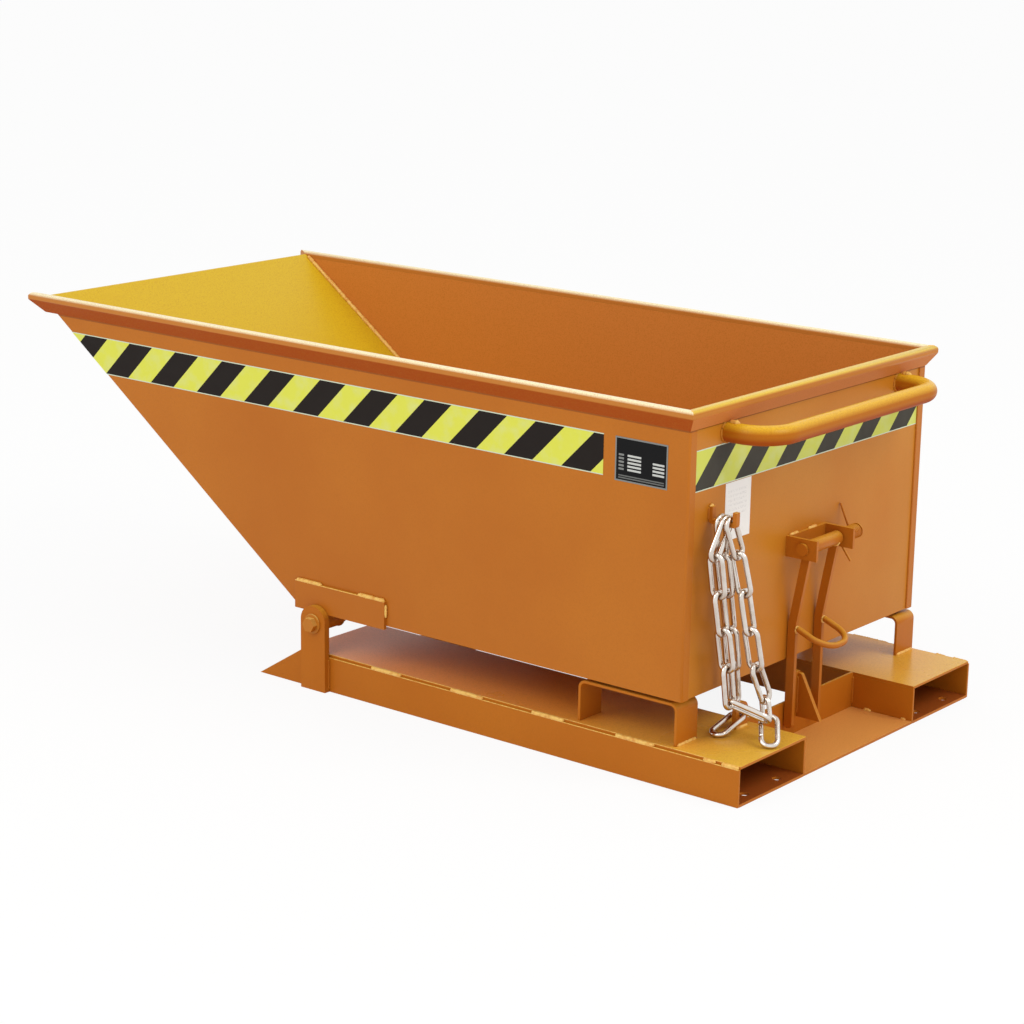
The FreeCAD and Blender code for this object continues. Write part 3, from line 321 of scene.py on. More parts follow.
ZINC_GRAIN = 0.2 * MM
ZINC_LOOKS_DOWN = (0.2, -0.7)
ZINC_CLOUDS = (0.4, 0.7)
ZINC_ROUGH = (0.14, 0.22)
RUBBER_GRAIN = 0.3 * MM


def zinc(name):
    """Bright zinc plating: metal with faint clouds, fine scratches and painted shade that makes undersides
    browner.
    """
    graph = Graph(name)
    cloud = graph.noise(scale=40.0, detail=2.0)
    grain = graph.noise(scale=900.0, detail=2.0)
    tone = graph.mix(graph.remap(cloud, *ZINC_CLOUDS), ZINC, ZINC_DULL)
    # Painted shade: browner tone on faces that look down
    tone = graph.mix(graph.remap(graph.facing()[2], *ZINC_LOOKS_DOWN), tone, ZINC_SHADE)
    graph.bump(grain, strength=0.05, distance=ZINC_GRAIN)
    graph.set(Base_Color=tone, Roughness=graph.remap(cloud, *NOISE_RANGE, *ZINC_ROUGH), Metallic=1.0)
    return graph.material


def rubber(name):
    """Black rubber with grey dust in patches."""
    graph = Graph(name)
    dust = graph.noise(scale=80.0, detail=5.0)
    graph.bump(graph.noise(scale=700.0, detail=2.0), strength=0.3, distance=RUBBER_GRAIN)
    tone = graph.mix(graph.remap(dust, *NOISE_CRESTS), RUBBER, RUBBER_DUST)
    graph.set(Base_Color=tone, Roughness=0.85)
    return graph.material


# Hazard tapes

STRIPE_PERIOD = 121.9 * MM
BLACK_SHARE = 0.5
TAPE_EDGE_WIDTH = 1.8 * MM
TAPE_WEAR = 0.35
TAPE_WORN = (0.45, 0.8)
TAPE_ROUGH = (0.45, 0.6)
TAPE_GRAIN = 0.2 * MM
SIDE_BLACK_START = REAR + 947 * MM
REAR_BLACK_START = 673 * MM


def hazard_tape(name, node, axis, black_start, dark=TAPE_BLACK, light=TAPE_LIME):
    """Dark and light stripes at 45 degrees, with a thin pale edge; the tape runs along the axis."""
    graph = Graph(name)
    place = graph.place()
    low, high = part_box(node)
    run = graph.math("ADD", place[axis], place[2])
    from_start = graph.math("SUBTRACT", run, black_start)
    share = graph.math("FRACT", graph.math("DIVIDE", from_start, STRIPE_PERIOD))
    black = graph.math("LESS_THAN", share, BLACK_SHARE)
    wear = graph.noise(scale=35.0, detail=4.0)
    lime = graph.mix(graph.remap(wear, *TAPE_WORN, 0.0, TAPE_WEAR), light, TAPE_EDGE)
    tone = graph.mix(black, lime, dark)
    middle = (low.z + high.z) / 2
    off_middle = graph.math("ABSOLUTE", graph.math("SUBTRACT", place[2], middle))
    rim = graph.math("GREATER_THAN", off_middle, (high.z - low.z) / 2 - TAPE_EDGE_WIDTH)
    tone = graph.mix(rim, tone, TAPE_EDGE)
    graph.bump(graph.noise(scale=500.0, detail=2.0), strength=0.05, distance=TAPE_GRAIN)
    rough = graph.remap(wear, *NOISE_RANGE, *TAPE_ROUGH)
    graph.set(Base_Color=tone, Roughness=rough, Specular_IOR_Level=0.1)
    return graph.material


# Type plate and paper label: columns and rows are shares of the width and height, with a count of rows

BAR_SHARE = (0.22, 0.78)
PLATE_BORDER = 0.025
PLATE_BORDER_UPRIGHT = PLATE_BORDER * 1.4
FIELD_COLUMN = (0.24, 0.5)
FIELD_ROWS = (0.36, 0.76, 5)
TITLE_COLUMN = (0.07, 0.17)
SECOND_COLUMN = (0.72, 0.94)
SECOND_ROWS = (0.44, 0.76, 4)
FOOT_COLUMN = (0.07, 0.94)
FOOT_ROWS = (0.84, 0.94, 2)
FAINT_PRINT = 0.4
FAINTEST_PRINT = 0.25
PLATE_ROUGH = (0.45, 0.6)
RULED_COLUMN = (0.1, 0.85)
RULED_ROWS = (0.12, 0.6, 6)
RULED_PRINT = 0.35
RULED_BREAKS = (0.45, 0.6)
PAPER_CREASE = 1.0 * MM


def bars(graph, across, down, column, rows):
    """1 on the plain bars of one column, 0 elsewhere."""
    left, right = column
    top, bottom, count = rows
    pitch = (bottom - top) / count
    row_share = graph.math("FRACT", graph.math("DIVIDE", graph.math("SUBTRACT", down, top), pitch))
    in_row = graph.inside(row_share, *BAR_SHARE)
    in_rows = graph.inside(down, top, bottom)
    in_column = graph.inside(across, left, right)
    return graph.math("MULTIPLY", graph.math("MULTIPLY", in_row, in_rows), in_column)


def type_plate(name):
    """Black foil with a pale border and columns of plain bars where a real plate has its data."""
    graph = Graph(name)
    place = graph.place()
    low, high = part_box("type_plate")
    across = graph.remap(place[0], high.x, low.x)
    down = graph.remap(place[2], high.z, low.z)
    within_width = graph.inside(across, PLATE_BORDER, 1 - PLATE_BORDER)
    within_height = graph.inside(down, PLATE_BORDER_UPRIGHT, 1 - PLATE_BORDER_UPRIGHT)
    border = graph.math("SUBTRACT", 1.0, graph.math("MULTIPLY", within_width, within_height))
    fields = bars(graph, across, down, FIELD_COLUMN, FIELD_ROWS)
    titles = bars(graph, across, down, TITLE_COLUMN, FIELD_ROWS)
    second = bars(graph, across, down, SECOND_COLUMN, SECOND_ROWS)
    foot = bars(graph, across, down, FOOT_COLUMN, FOOT_ROWS)
    tone = graph.mix(graph.math("MULTIPLY", titles, FAINT_PRINT), PLATE_BLACK, PLATE_PRINT)
    tone = graph.mix(graph.math("MAXIMUM", fields, second), tone, PLATE_PRINT)
    tone = graph.mix(graph.math("MULTIPLY", foot, FAINTEST_PRINT), tone, PLATE_PRINT)
    tone = graph.mix(graph.math("MULTIPLY", border, FAINT_PRINT), tone, PLATE_PRINT)
    rough = graph.remap(graph.noise(scale=40.0), *NOISE_RANGE, *PLATE_ROUGH)
    graph.set(Base_Color=tone, Roughness=rough, Specular_IOR_Level=0.12)
    return graph.material


def paper(name):
    """White paper with a few faint ruled lines and soft creases."""
    graph = Graph(name)
    place = graph.place()
    low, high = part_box("paper_label")
    down = graph.remap(place[2], high.z, low.z)
    across = graph.remap(place[1], high.y, low.y)
    lines = bars(graph, across, down, RULED_COLUMN, RULED_ROWS)
    broken = graph.remap(graph.noise(scale=300.0), *RULED_BREAKS, 0.0, RULED_PRINT)
    thin = graph.math("MULTIPLY", lines, broken)
    graph.bump(graph.noise(scale=45.0, detail=3.0), strength=0.35, distance=PAPER_CREASE)
    graph.set(Base_Color=graph.mix(thin, PAPER_WHITE, PAPER_LINE), Roughness=0.8)
    return graph.material


# Materials of the nodes

SKIP_PAINT = paint("skip_paint", ORANGE, ORANGE_DEEP, LIT_GOLD_TOP)
WALL_PAINT = paint("wall_paint", ORANGE, ORANGE_DEEP, LIT_GOLD_TOP, wall=True)
REAR_LIT_PAINT = paint("rear_lit_paint", REAR_LIT_ORANGE, ORANGE, LIT_GOLD_TOP, wall=True)
BASE_PAINT = paint("base_paint", ORANGE, ORANGE_DEEP, LIT_GOLD_TOP, gloss=0.12)
LID_PAINT = paint("lid_paint", ORANGE, ORANGE_DEEP, LID_BROWN, gloss=0.12, shine=(0.2, 0.3), lid=True)
CROSS_PAINT = paint("cross_paint", ORANGE, ORANGE_DEEP, CROSS_LIT_TOP, gloss=0.12, shine=(0.2, 0.35))
POCKET_PAINT = paint("pocket_paint", ORANGE, ORANGE_DEEP, POCKET_FLOOR_SHADE, gloss=0.12)
CHUTE_PAINT = paint("chute_paint", ORANGE, ORANGE_DEEP, CHUTE_LIT_YELLOW)
RIM_PAINT = paint("rim_paint", RIM_SIDE, RIM_SIDE, RIM_TOP_HIGHLIGHT, shine=(0.35, 0.36), under=UNDERSIDE_SHADE)
REAR_RIM_PAINT = paint(
    "rear_rim_paint", RIM_SIDE, RIM_SIDE, REAR_RIM_TOP_HIGHLIGHT, gloss=0.15, shine=(0.3, 0.34), under=REAR_RIM_UNDERSIDE_SHADE,
)
HANDLE_PAINT = paint(
    "handle_paint", HANDLE_SHADED_SIDE, HANDLE_SHADED_SIDE, HANDLE_TOP_HIGHLIGHT, gloss=0.1, shine=(0.2, 0.28), under=UNDERSIDE_SHADE,
)
BOLT_PAINT = paint("bolt_paint", BOLT_LIT_GOLD, BOLT_LIT_GOLD, BOLT_TOP_HIGHLIGHT, shine=(0.4, 0.3))
WELD_PAINT = weld_paint("weld_paint")
ZINC_PLATING = zinc("zinc_plating")
SPECIAL = {
    "chute_plate": CHUTE_PAINT,
    "left_rim_rail": RIM_PAINT,
    "right_rim_rail": RIM_PAINT,
    "rear_rim_rail": REAR_RIM_PAINT,
    "left_side_wall": WALL_PAINT,
    "right_side_wall": WALL_PAINT,
    "rear_wall": REAR_LIT_PAINT,
    "left_pocket_floor": POCKET_PAINT,
    "right_pocket_floor": POCKET_PAINT,
    "left_pocket_lid": LID_PAINT,
    "right_pocket_lid": LID_PAINT,
    "rear_cross_plate": CROSS_PAINT,
    "left_pivot_bolt": BOLT_PAINT,
    "right_pivot_bolt": BOLT_PAINT,
    "pivot_washers": BOLT_PAINT,
    "push_handle": HANDLE_PAINT,
    "hung_chain": ZINC_PLATING,
    "snap_hook": ZINC_PLATING,
    "snap_hook_gate": ZINC_PLATING,
    "anchor_link": ZINC_PLATING,
    "rest_pads": rubber("rubber"),
    "left_hazard_tape": hazard_tape("left_tape", "left_hazard_tape", 0, SIDE_BLACK_START),
    "right_hazard_tape": hazard_tape("right_tape", "right_hazard_tape", 0, SIDE_BLACK_START),
    "rear_hazard_tape": hazard_tape(
        "rear_tape", "rear_hazard_tape", 1, REAR_BLACK_START, REAR_TAPE_LIT_BLACK, REAR_TAPE_SHADED_LIME,
    ),
    "type_plate": type_plate("type_plate_print"),
    "paper_label": paper("label_paper"),
}
BASE_NODES = set(frame["record"]["behaviour"]["bodies"]["base"])

# Round pieces, thin labels and plates with holes keep the edges that they have
UNBEVELLED = {
    "left_pivot_upright", "right_pivot_upright", "chain_lug", "latch_bracket",
    "left_pocket_floor", "right_pocket_floor",
    "hung_chain", "snap_hook", "snap_hook_gate", "anchor_link", "latch_spring", "push_handle", "pedal_loop",
    "left_hazard_tape", "right_hazard_tape", "rear_hazard_tape", "type_plate", "paper_label",
}
EDGE_ROUND = 0.8 * MM
EDGE_SEGMENTS = 2
EDGE_ANGLE = math.radians(38)
JOIN_REACH = 0.01 * MM


def dress(name, node):
    """Gives a CAD node its material and takes the razor edge off its plates."""
    node.data.materials.clear()
    node.data.materials.append(SPECIAL.get(name, BASE_PAINT if name in BASE_NODES else SKIP_PAINT))
    if name in UNBEVELLED:
        return
    weld = node.modifiers.new("join", "WELD")
    weld.merge_threshold = JOIN_REACH
    bevel = node.modifiers.new("highlight_edges", "BEVEL")
    bevel.width = EDGE_ROUND
    bevel.segments = EDGE_SEGMENTS
    bevel.limit_method = "ANGLE"
    bevel.angle_limit = EDGE_ANGLE
    bevel.harden_normals = True


for node_name, node_object in NODES.items():
    dress(node_name, node_object)


# Weld beads: ripples, swells and rounded ends are shares of a bead's radius

BEAD_SIDES = 10
BEAD_STEP = 1.6 * MM
RIPPLE_LENGTH = 5.5 * MM
RIPPLE_DEPTH = 0.16
SWELL_SPREAD = 0.22
SWELL_PACE = 0.5
END_LENGTH = 1.5
END_BLUNT = 0.04
STEEP = 0.9
SEED = 7
chance = random.Random(SEED)


def resample(points, step, closed):
    """Evenly spaced points along straight runs."""
    corners = points + points[:1] if closed else points
    spaced = []
    for start, end in zip(corners, corners[1:]):
        count = max(1, round((end - start).length / step))
        spaced += [start.lerp(end, number / count) for number in range(count)]
    if not closed:
        spaced.append(corners[-1])
    return spaced


def circle(centre, first, second, radius, count):
    """Points round a centre in the plane of two directions."""
    points = []
    for number in range(count):
        angle = 2 * math.pi * number / count
        points.append(centre + (first * math.cos(angle) + second * math.sin(angle)) * radius)
    return points


def bead_girths(count, radius, closed):
    """Radius of a bead at each of its points."""
    last = count - 1
    phase = chance.random()
    swell = 1.0
    girths = []
    for number in range(count):
        swell += SWELL_PACE * (1 + chance.uniform(-SWELL_SPREAD, SWELL_SPREAD) - swell)
        ripple = abs(math.sin(math.pi * (number * BEAD_STEP / RIPPLE_LENGTH + phase)))
        girth = radius * swell * (1 - RIPPLE_DEPTH + RIPPLE_DEPTH * ripple)
        if not closed:
            reach = min(number, last - number) * BEAD_STEP / (radius * END_LENGTH)
            girth *= math.sqrt(max(END_BLUNT, 1 - max(0.0, 1 - reach) ** 2))
        girths.append(girth)
    return girths


def bead_ring(mesh, before, point, after, girth):
    """Ring of mesh points square to a bead's path."""
    along = (after - before).normalized()
    side = along.orthogonal().normalized()
    if abs(along.z) < STEEP:
        side = along.cross(UP).normalized()
    return [mesh.verts.new(place) for place in circle(point, side, side.cross(along), girth, BEAD_SIDES)]


def bead_skin(mesh, rings, closed):
    """Smooth faces between neighbouring rings, and a cap on each open end."""
    pairs = list(zip(rings, rings[1:]))
    if closed:
        pairs.append((rings[-1], rings[0]))
    for first, second in pairs:
        for corner in range(BEAD_SIDES):
            following = (corner + 1) % BEAD_SIDES
            mesh.faces.new((first[corner], first[following], second[following], second[corner]))
    if not closed:
        mesh.faces.new(rings[0])
        mesh.faces.new(list(reversed(rings[-1])))
    bmesh.ops.recalc_face_normals(mesh, faces=mesh.faces)
    for face in mesh.faces:
        face.smooth = True


def bead(name, body, points, radius, closed=False, look=WELD_PAINT):
    """Rippled weld bead along a path, rounded off at its ends."""
    spaced = resample([Vector(point) for point in points], BEAD_STEP, closed)
    last = len(spaced) - 1
    mesh = bmesh.new()
    rings = []
    for number, girth in enumerate(bead_girths(len(spaced), radius, closed)):
        point = spaced[number]
        before = spaced[number - 1] if number or closed else point
        after = spaced[(number + 1) % len(spaced)] if number < last or closed else point
        rings.append(bead_ring(mesh, before, point, after, girth))
    bead_skin(mesh, rings, closed)
    data = bpy.data.meshes.new(name)
    mesh.to_mesh(data)
    mesh.free()
    data.materials.append(look)
    made = bpy.data.objects.new(name, data)
    bpy.context.scene.collection.objects.link(made)
    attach(made, body)


def outer_y(low, high, sign):
    """Y of the face of a box that looks away from the middle, on the side that the sign gives."""
    return high.y if sign > 0 else low.y


def inner_y(low, high, sign):
    """Y of the face of a box that looks to the middle, on the side that the sign gives."""
    return low.y if sign > 0 else high.y


# A bead's middle stands this far off the plate that it lies on
BEAD_LIFT = 0.6 * MM
TACK_LIFT = 0.8 * MM

# Radii that several beads share
WIDE_BEAD = 4.0 * MM
TACK_BEAD = 3.2 * MM
SLIM_BEAD = 2.2 * MM

# Painted highlight: a thin pale rod along a plate's edge, sunk so that little of it stands proud
EDGE_HIGHLIGHT_SUNK = 0.4 * MM

STITCHES_MM = ((2, 34), (47, 25), (170, 80), (358, 71), (536, 74), (724, 72))
STITCH_OUT = 1.4 * MM
STITCH_RISE = 2.0 * MM
POCKET_EDGE_HIGHLIGHT = 0.7 * MM
POCKET_EDGE_MARGIN = 1 * MM


def pocket_welds(name, sign):
    """Stitches along the pocket's upper outer edge, each with its start from the rear end and its length."""
    low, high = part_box(f"{name}_pocket_lid")
    edge_y = outer_y(low, high, sign)
    ledge = edge_y + STITCH_OUT * sign
    height = low.z + STITCH_RISE
    for number, (start, length) in enumerate(STITCHES_MM):
        begin = REAR + start * MM
        ends = [(begin, ledge, height), (begin + length * MM, ledge, height)]
        bead(f"{name}_pocket_stitch_{number}", "base", ends, WIDE_BEAD)

    # Painted highlights: thin pale rods along the lid's and the wall's top outer edges
    wall_low, wall_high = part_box(f"{name}_pocket_outer_wall")
    wall_y = outer_y(wall_low, wall_high, sign)
    front = high.x - POCKET_EDGE_MARGIN
    highlight_edges = (("lid", edge_y, high.z, low.x), ("wall", wall_y, wall_high.z, wall_low.x))
    for place_name, edge, top, start in highlight_edges:
        y_place = edge - EDGE_HIGHLIGHT_SUNK * sign
        z_place = top - EDGE_HIGHLIGHT_SUNK
        ends = [(start + POCKET_EDGE_MARGIN, y_place, z_place), (front, y_place, z_place)]
        bead(f"{name}_{place_name}_edge", "base", ends, POCKET_EDGE_HIGHLIGHT)


BAR_OUT = 2.6 * MM
BAR_MARGIN = 2 * MM
BAR_REAR_RUN = 66 * MM
BAR_FRONT_RUN = 64 * MM
BAR_END_BEAD = 2.8 * MM
BAR_END_LOW = 22 * MM
BAR_END_HIGH = 6 * MM
BAR_EDGE_HIGHLIGHT = 0.9 * MM
UPRIGHT_OUT = 1.5 * MM
UPRIGHT_MARGIN = 4 * MM


def pivot_welds(name, sign):
    """Beads on the pivot bar's top edge and rear end, and beside the upright."""
    low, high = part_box(f"{name}_pivot_bar")
    y_place = inner_y(low, high, sign) + BAR_OUT * sign
    top = high.z + BEAD_LIFT
    runs = (
        (low.x + BAR_MARGIN, low.x + BAR_REAR_RUN),
        (high.x - BAR_FRONT_RUN, high.x - BAR_MARGIN),
    )
    for number, (start, end) in enumerate(runs):
        bead(f"{name}_bar_weld_{number}", "skip", [(start, y_place, top), (end, y_place, top)], WIDE_BEAD)
    rear = low.x - BEAD_LIFT
    ends = [(rear, y_place, low.z + BAR_END_LOW), (rear, y_place, high.z - BAR_END_HIGH)]
    bead(f"{name}_bar_end_weld", "skip", ends, BAR_END_BEAD)
    # Painted highlight: a thin pale rod along the bar's top outer edge
    edge = outer_y(low, high, sign) - EDGE_HIGHLIGHT_SUNK * sign
    ends = [(low.x, edge, high.z - EDGE_HIGHLIGHT_SUNK), (high.x, edge, high.z - EDGE_HIGHLIGHT_SUNK)]
    bead(f"{name}_bar_edge_highlight", "skip", ends, BAR_EDGE_HIGHLIGHT)

    low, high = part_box(f"{name}_pivot_upright")
    y_place = inner_y(low, high, sign) + UPRIGHT_OUT * sign
    lid_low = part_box(f"{name}_pocket_lid")[0].z
    for place_name, edge in (("rear", low.x), ("front", high.x)):
        ends = [(edge, y_place, UPRIGHT_MARGIN), (edge, y_place, lid_low - UPRIGHT_MARGIN)]
        bead(f"{name}_upright_{place_name}_weld", "base", ends, SLIM_BEAD, look=BASE_PAINT)


STRAP_MARGIN = 3 * MM
STRAP_LIFT = 1 * MM


def strap_welds(name):
    """Beads across the feet of a rest strap."""
    low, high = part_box(f"{name}_rest_strap")
    height = low.z + STRAP_LIFT
    for place_name, edge in (("rear", low.x), ("front", high.x)):
        ends = [(edge, low.y + STRAP_MARGIN, height), (edge, high.y - STRAP_MARGIN, height)]
        bead(f"{name}_strap_{place_name}_weld", "base", ends, TACK_BEAD)


HANDLE_RING_POINTS = 48
HANDLE_TACK = 5.0 * MM
HANDLE_TACK_FAR = 24 * MM
HANDLE_TACK_NEAR = 4 * MM


def handle_welds(name, sign):
    """Ring of weld where a leg of the handle meets the rear wall, and a tack on top of the leg."""
    low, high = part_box("push_handle")
    radius = (high.z - low.z) / 2
    leg_y = outer_y(low, high, sign) - radius * sign
    centre = Vector((high.x - BEAD_LIFT, leg_y, (low.z + high.z) / 2))
    ring = circle(centre, ACROSS, UP, radius + BEAD_LIFT, HANDLE_RING_POINTS)
    bead(f"{name}_handle_weld", "skip", ring, SLIM_BEAD, closed=True, look=REAR_LIT_PAINT)
    tack = [(centre.x - HANDLE_TACK_FAR, leg_y, high.z), (centre.x - HANDLE_TACK_NEAR, leg_y, high.z)]
    bead(f"{name}_handle_tack", "skip", tack, HANDLE_TACK)


SEAM_INSET = 2.6 * MM
CHUTE_SEAM = 4.2 * MM
CHUTE_SEAM_END = 12 * MM
FLOOR_SEAM = 3.6 * MM
FLOOR_SEAM_END = 2 * MM


def inside_seams(name, sign):
    """Fillet beads inside the skip where the chute and the floor meet a side wall."""
    chute_low, chute_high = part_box("chute_plate")
    floor_low, floor_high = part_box("floor_plate")
    wall = outer_y(chute_low, chute_high, sign) - SEAM_INSET * sign
    foot = Vector((floor_high.x - SEAM_INSET, wall, floor_high.z + SEAM_INSET))
    sheet = floor_high.z - floor_low.z
    slope = Vector((chute_high.x - floor_high.x, 0, chute_high.z - floor_low.z)).normalized()
    inward = Vector((-slope.z, 0, slope.x))
    lip = Vector((chute_high.x, wall, chute_high.z))
    lip_inside = lip + inward * (sheet + SEAM_INSET) - slope * CHUTE_SEAM_END
    bead(f"{name}_chute_seam", "skip", [foot, lip_inside], CHUTE_SEAM)
    rear_foot = Vector((floor_low.x + FLOOR_SEAM_END, wall, foot.z))
    bead(f"{name}_floor_seam", "skip", [rear_foot, foot], FLOOR_SEAM)


RIM_CORNER_BEAD = 2.4 * MM
RIM_CORNER_SUNK = 1.4 * MM
RIM_CORNER_OUTER = 4 * MM
RIM_CORNER_INNER = 6 * MM


def rim_corner_welds(name, sign):
    """Low bead over the mitre of two rails."""
    low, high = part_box("rear_rim_rail")
    height = high.z - RIM_CORNER_SUNK
    inner_edge = high.y - (high.x - low.x)
    outer = Vector((low.x + RIM_CORNER_OUTER, (high.y - RIM_CORNER_OUTER) * sign, height))
    inner = Vector((high.x - RIM_CORNER_INNER, (inner_edge + RIM_CORNER_INNER) * sign, height))
    bead(f"{name}_rim_corner_weld", "skip", [outer, inner], RIM_CORNER_BEAD)


HOOK_SUNK = 0.5 * MM
HOOK_TOP_BEAD = 3.4 * MM
HOOK_TOP_OUT = 2 * MM
HOOK_SIDE_TOP = 2 * MM
HOOK_SIDE_LOW = 24 * MM


def hook_welds():
    """Beads round the chain hook's foot on the rear wall."""
    low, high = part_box("chain_hook")
    face = high.x - HOOK_SUNK
    over = face - HOOK_TOP_OUT
    bead("hook_top_weld", "skip", [(over, low.y, high.z), (over, high.y, high.z)], HOOK_TOP_BEAD)
    for place_name, edge in (("left", high.y), ("right", low.y)):
        ends = [(face, edge, high.z - HOOK_SIDE_TOP), (face, edge, high.z - HOOK_SIDE_LOW)]
        bead(f"hook_{place_name}_weld", "skip", ends, SLIM_BEAD, look=SKIP_PAINT)


BRACKET_BEAD = 3.6 * MM
BRACKET_LENGTH = 26 * MM
BRACKET_OUT = 2 * MM
BRACKET_FROM_RIGHT = 30 * MM
BRACKET_FROM_LEFT = 34 * MM


def bracket_welds():
    """Short beads on the latch bracket's top and bottom edges."""
    low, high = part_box("latch_bracket")
    face = high.x - BRACKET_OUT
    starts = (low.y + BRACKET_FROM_RIGHT, high.y - BRACKET_FROM_LEFT)
    for number, start in enumerate(starts):
        for place_name, height in (("top", high.z), ("bottom", low.z)):
            ends = [(face, start, height), (face, start + BRACKET_LENGTH, height)]
            bead(f"bracket_{place_name}_weld_{number}", "skip", ends, BRACKET_BEAD)


CROSS_TACKS_MM = ((12, 10), (84, 16))
CROSS_INSET = 1.0 * MM
UPSTAND_LOW = 6 * MM
UPSTAND_HIGH = 8 * MM


def cross_plate_welds():
    """Tacks between the rear cross plate, its upstand and the pockets' inner walls."""
    low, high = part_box("rear_cross_plate")
    up_low, up_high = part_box("rear_upstand")
    height = high.z + TACK_LIFT
    face = up_low.x - BEAD_LIFT
    for name, sign in SIDES:
        wall = (high.y - CROSS_INSET) * sign
        for number, (start, length) in enumerate(CROSS_TACKS_MM):
            begin = low.x + start * MM
            ends = [(begin, wall, height), (begin + length * MM, wall, height)]
            bead(f"{name}_cross_tack_{number}", "base", ends, TACK_BEAD)
        ends = [(face, wall, up_low.z + UPSTAND_LOW), (face, wall, up_high.z - UPSTAND_HIGH)]
        bead(f"{name}_upstand_weld", "base", ends, SLIM_BEAD, look=BASE_PAINT)


LUG_MARGIN = 2 * MM


def lug_welds():
    """Beads across the chain lug's foot."""
    low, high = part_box("chain_lug")
    height = low.z + TACK_LIFT
    for place_name, edge in (("rear", low.x), ("front", high.x)):
        ends = [(edge, low.y + LUG_MARGIN, height), (edge, high.y - LUG_MARGIN, height)]
        bead(f"lug_{place_name}_weld", "base", ends, TACK_BEAD)


GUSSET_BEAD = 2.0 * MM
GUSSET_MARGIN = 6 * MM
CATCH_LOW = 4 * MM
CATCH_HIGH = 3 * MM


def catch_welds():
    """Beads beside the catch's gusset and along both sides of its bar."""
    low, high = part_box("catch_gusset")
    corner = high.x - BEAD_LIFT
    ends = [(corner, high.y, low.z + GUSSET_MARGIN), (corner, high.y, high.z - GUSSET_MARGIN)]
    bead("gusset_weld", "base", ends, GUSSET_BEAD, look=BASE_PAINT)
    low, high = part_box("latch_catch")
    upstand_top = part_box("rear_upstand")[1].z
    for place_name, edge in (("left", high.y), ("right", low.y)):
        ends = [(high.x, edge, low.z + CATCH_LOW), (high.x, edge, upstand_top - CATCH_HIGH)]
        bead(f"catch_{place_name}_weld", "base", ends, SLIM_BEAD, look=BASE_PAINT)


SLEEVE_BEAD = 2.0 * MM
SLEEVE_ARC = (205, 335)
SLEEVE_ARC_STEPS = 8
LOOP_BEAD = 1.6 * MM
LOOP_ROD_RADIUS = 5.5 * MM
LOOP_SUNK = 0.5 * MM
LOOP_DROP = 1 * MM
LOOP_RING_POINTS = 24


def lever_welds():
    """Beads where the arms meet the sleeve and where the foot loop meets the arms."""
    sleeve_low, sleeve_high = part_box("latch_sleeve")
    centre_x = (sleeve_low.x + sleeve_high.x) / 2
    centre_z = (sleeve_low.z + sleeve_high.z) / 2
    radius = (sleeve_high.z - sleeve_low.z) / 2
    loop_low, loop_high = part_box("pedal_loop")
    first, last = SLEEVE_ARC
    for name, sign in SIDES:
        low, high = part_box(f"{name}_lever_arm")
        inner = inner_y(low, high, sign)
        arc = []
        for step in range(SLEEVE_ARC_STEPS + 1):
            angle = math.radians(first + (last - first) * step / SLEEVE_ARC_STEPS)
            arc.append((centre_x + radius * math.cos(angle), inner, centre_z + radius * math.sin(angle)))
        bead(f"{name}_sleeve_weld", "latch", arc, SLEEVE_BEAD)
        y_place = outer_y(loop_low, loop_high, sign) - LOOP_ROD_RADIUS * sign
        centre = Vector((loop_high.x - LOOP_SUNK, y_place, loop_high.z - LOOP_ROD_RADIUS - LOOP_DROP))
        ring = circle(centre, ACROSS, UP, LOOP_ROD_RADIUS, LOOP_RING_POINTS)
        bead(f"{name}_loop_weld", "latch", ring, LOOP_BEAD, closed=True)


for side_name, side_sign in SIDES:
    pocket_welds(side_name, side_sign)
    pivot_welds(side_name, side_sign)
    strap_welds(side_name)
    handle_welds(side_name, side_sign)
    inside_seams(side_name, side_sign)
    rim_corner_welds(side_name, side_sign)
hook_welds()
bracket_welds()
cross_plate_welds()
lug_welds()
catch_welds()
lever_welds()


# Studio

FLOOR_SIZE = 80.0
FLOOR_DROP = 0.4 * MM
FLOOR_WHITE = srgb(244, 244, 243)
FLOOR_GLOW = 0.9
AMBIENT = 0.8
LAMP_AIM = Vector((0, 0, 0.3))
KEY_PLACE = Vector((-3.4, -0.6, 3.6))
KEY_WIDTH = 2.0
KEY_POWER = 60
KEY_COLOUR = (1.0, 0.97, 0.9)
FILL_PLACE = Vector((0.4, 4.2, 3.8))
FILL_WIDTH = 3.0
FILL_POWER = 70
FILL_COLOUR = (1.0, 0.98, 0.95)


def seen_directly(tree):
    """1 for rays from the camera, a mirror or glass, 0 for rays that carry light."""
    path = tree.nodes.new("ShaderNodeLightPath")
    total = path.outputs["Is Camera Ray"]
    for name in ("Is Glossy Ray", "Is Transmission Ray"):
        summed = tree.nodes.new("ShaderNodeMath")
        summed.operation = "MAXIMUM"
        tree.links.new(total, summed.inputs[0])
        tree.links.new(path.outputs[name], summed.inputs[1])
        total = summed.outputs[0]
    return total


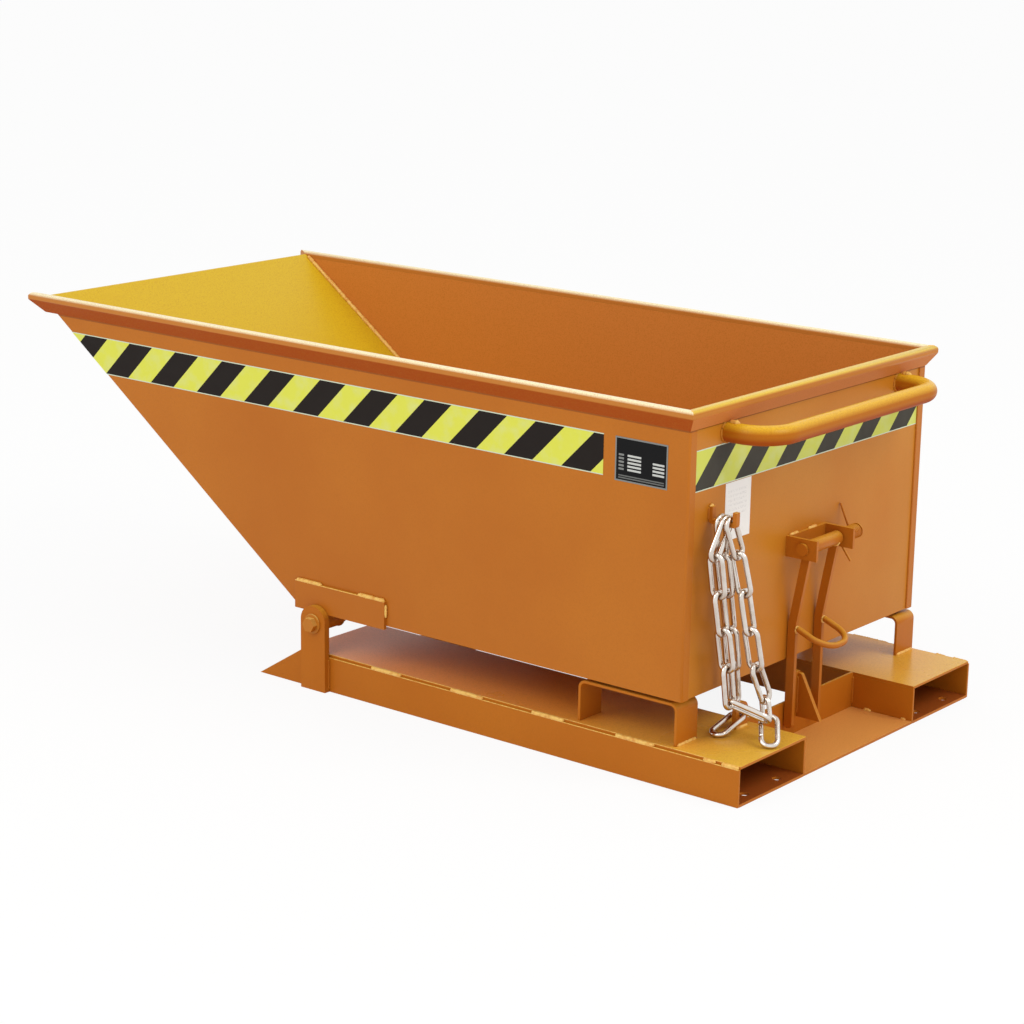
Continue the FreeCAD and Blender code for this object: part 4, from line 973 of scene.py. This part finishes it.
def floor():
    """Pale floor that looks nearly white to the camera and still takes the part's shadow."""
    bpy.ops.mesh.primitive_plane_add(size=FLOOR_SIZE, location=(0, 0, -FLOOR_DROP))
    made = bpy.context.object
    made.name = "floor"
    material = bpy.data.materials.new("floor_white")
    material.use_nodes = True
    tree = material.node_tree
    tree.nodes.remove(tree.nodes["Principled BSDF"])
    matte = tree.nodes.new("ShaderNodeBsdfDiffuse")
    matte.inputs["Color"].default_value = FLOOR_WHITE
    glow = tree.nodes.new("ShaderNodeEmission")
    share = tree.nodes.new("ShaderNodeMath")
    share.operation = "MULTIPLY"
    share.inputs[1].default_value = FLOOR_GLOW
    tree.links.new(seen_directly(tree), share.inputs[0])
    mixed = tree.nodes.new("ShaderNodeMixShader")
    tree.links.new(share.outputs[0], mixed.inputs[0])
    tree.links.new(matte.outputs[0], mixed.inputs[1])
    tree.links.new(glow.outputs[0], mixed.inputs[2])
    tree.links.new(mixed.outputs[0], tree.nodes["Material Output"].inputs["Surface"])
    made.data.materials.append(material)


def sky():
    """Even white light from all round; the camera sees plain white."""
    world = bpy.data.worlds.new("studio")
    bpy.context.scene.world = world
    world.use_nodes = True
    tree = world.node_tree
    background = tree.nodes["Background"]
    background.inputs["Color"].default_value = (1, 1, 1, 1)
    strength = tree.nodes.new("ShaderNodeMapRange")
    strength.inputs["To Min"].default_value = AMBIENT
    strength.inputs["To Max"].default_value = 1.0
    tree.links.new(seen_directly(tree), strength.inputs["Value"])
    tree.links.new(strength.outputs["Result"], background.inputs["Strength"])


def lamp(name, place, width, power, colour):
    """Soft square lamp aimed at the middle of the skip."""
    data = bpy.data.lights.new(name, "AREA")
    data.size = width
    data.energy = power
    data.color = colour
    made = bpy.data.objects.new(name, data)
    made.location = place
    made.rotation_euler = (LAMP_AIM - place).to_track_quat("-Z", "Y").to_euler()
    bpy.context.scene.collection.objects.link(made)


IMAGE_WIDTH = 1024
SENSOR = 36.0
FOCAL_PIXELS = 2602.4
CENTRE_PIXEL = (560.0, 530.0)
CAMERA_AZIMUTH = 217.628
CAMERA_ELEVATION = 14.964
CAMERA_ROLL = 1.211
CAMERA_DISTANCE = 4.8119
CAMERA_AIM = Vector((REAR + 0.6627, 0.0003, 0.2722))


def camera():
    """The photo's viewing angle, found from the corners of the skip and of the base."""
    azimuth = math.radians(CAMERA_AZIMUTH)
    elevation = math.radians(CAMERA_ELEVATION)
    roll = math.radians(CAMERA_ROLL)
    level = math.cos(elevation)
    away = Vector((math.sin(azimuth) * level, -math.cos(azimuth) * level, math.sin(elevation)))
    level_right = (-away).cross(UP).normalized()
    level_up = level_right.cross(-away)
    right = level_right * math.cos(roll) + level_up * math.sin(roll)
    up = level_up * math.cos(roll) - level_right * math.sin(roll)
    data = bpy.data.cameras.new("camera")
    data.sensor_width = SENSOR
    data.lens = FOCAL_PIXELS / IMAGE_WIDTH * SENSOR
    data.shift_x = 0.5 - CENTRE_PIXEL[0] / IMAGE_WIDTH
    data.shift_y = CENTRE_PIXEL[1] / IMAGE_WIDTH - 0.5
    made = bpy.data.objects.new("camera", data)
    turn = Matrix((right, up, away)).transposed().to_4x4()
    made.matrix_world = Matrix.Translation(CAMERA_AIM + away * CAMERA_DISTANCE) @ turn
    bpy.context.scene.collection.objects.link(made)
    bpy.context.scene.camera = made


floor()
sky()
lamp("key", KEY_PLACE, KEY_WIDTH, KEY_POWER, KEY_COLOUR)
lamp("fill", FILL_PLACE, FILL_WIDTH, FILL_POWER, FILL_COLOUR)
camera()
bpy.context.scene.view_settings.view_transform = "Standard"
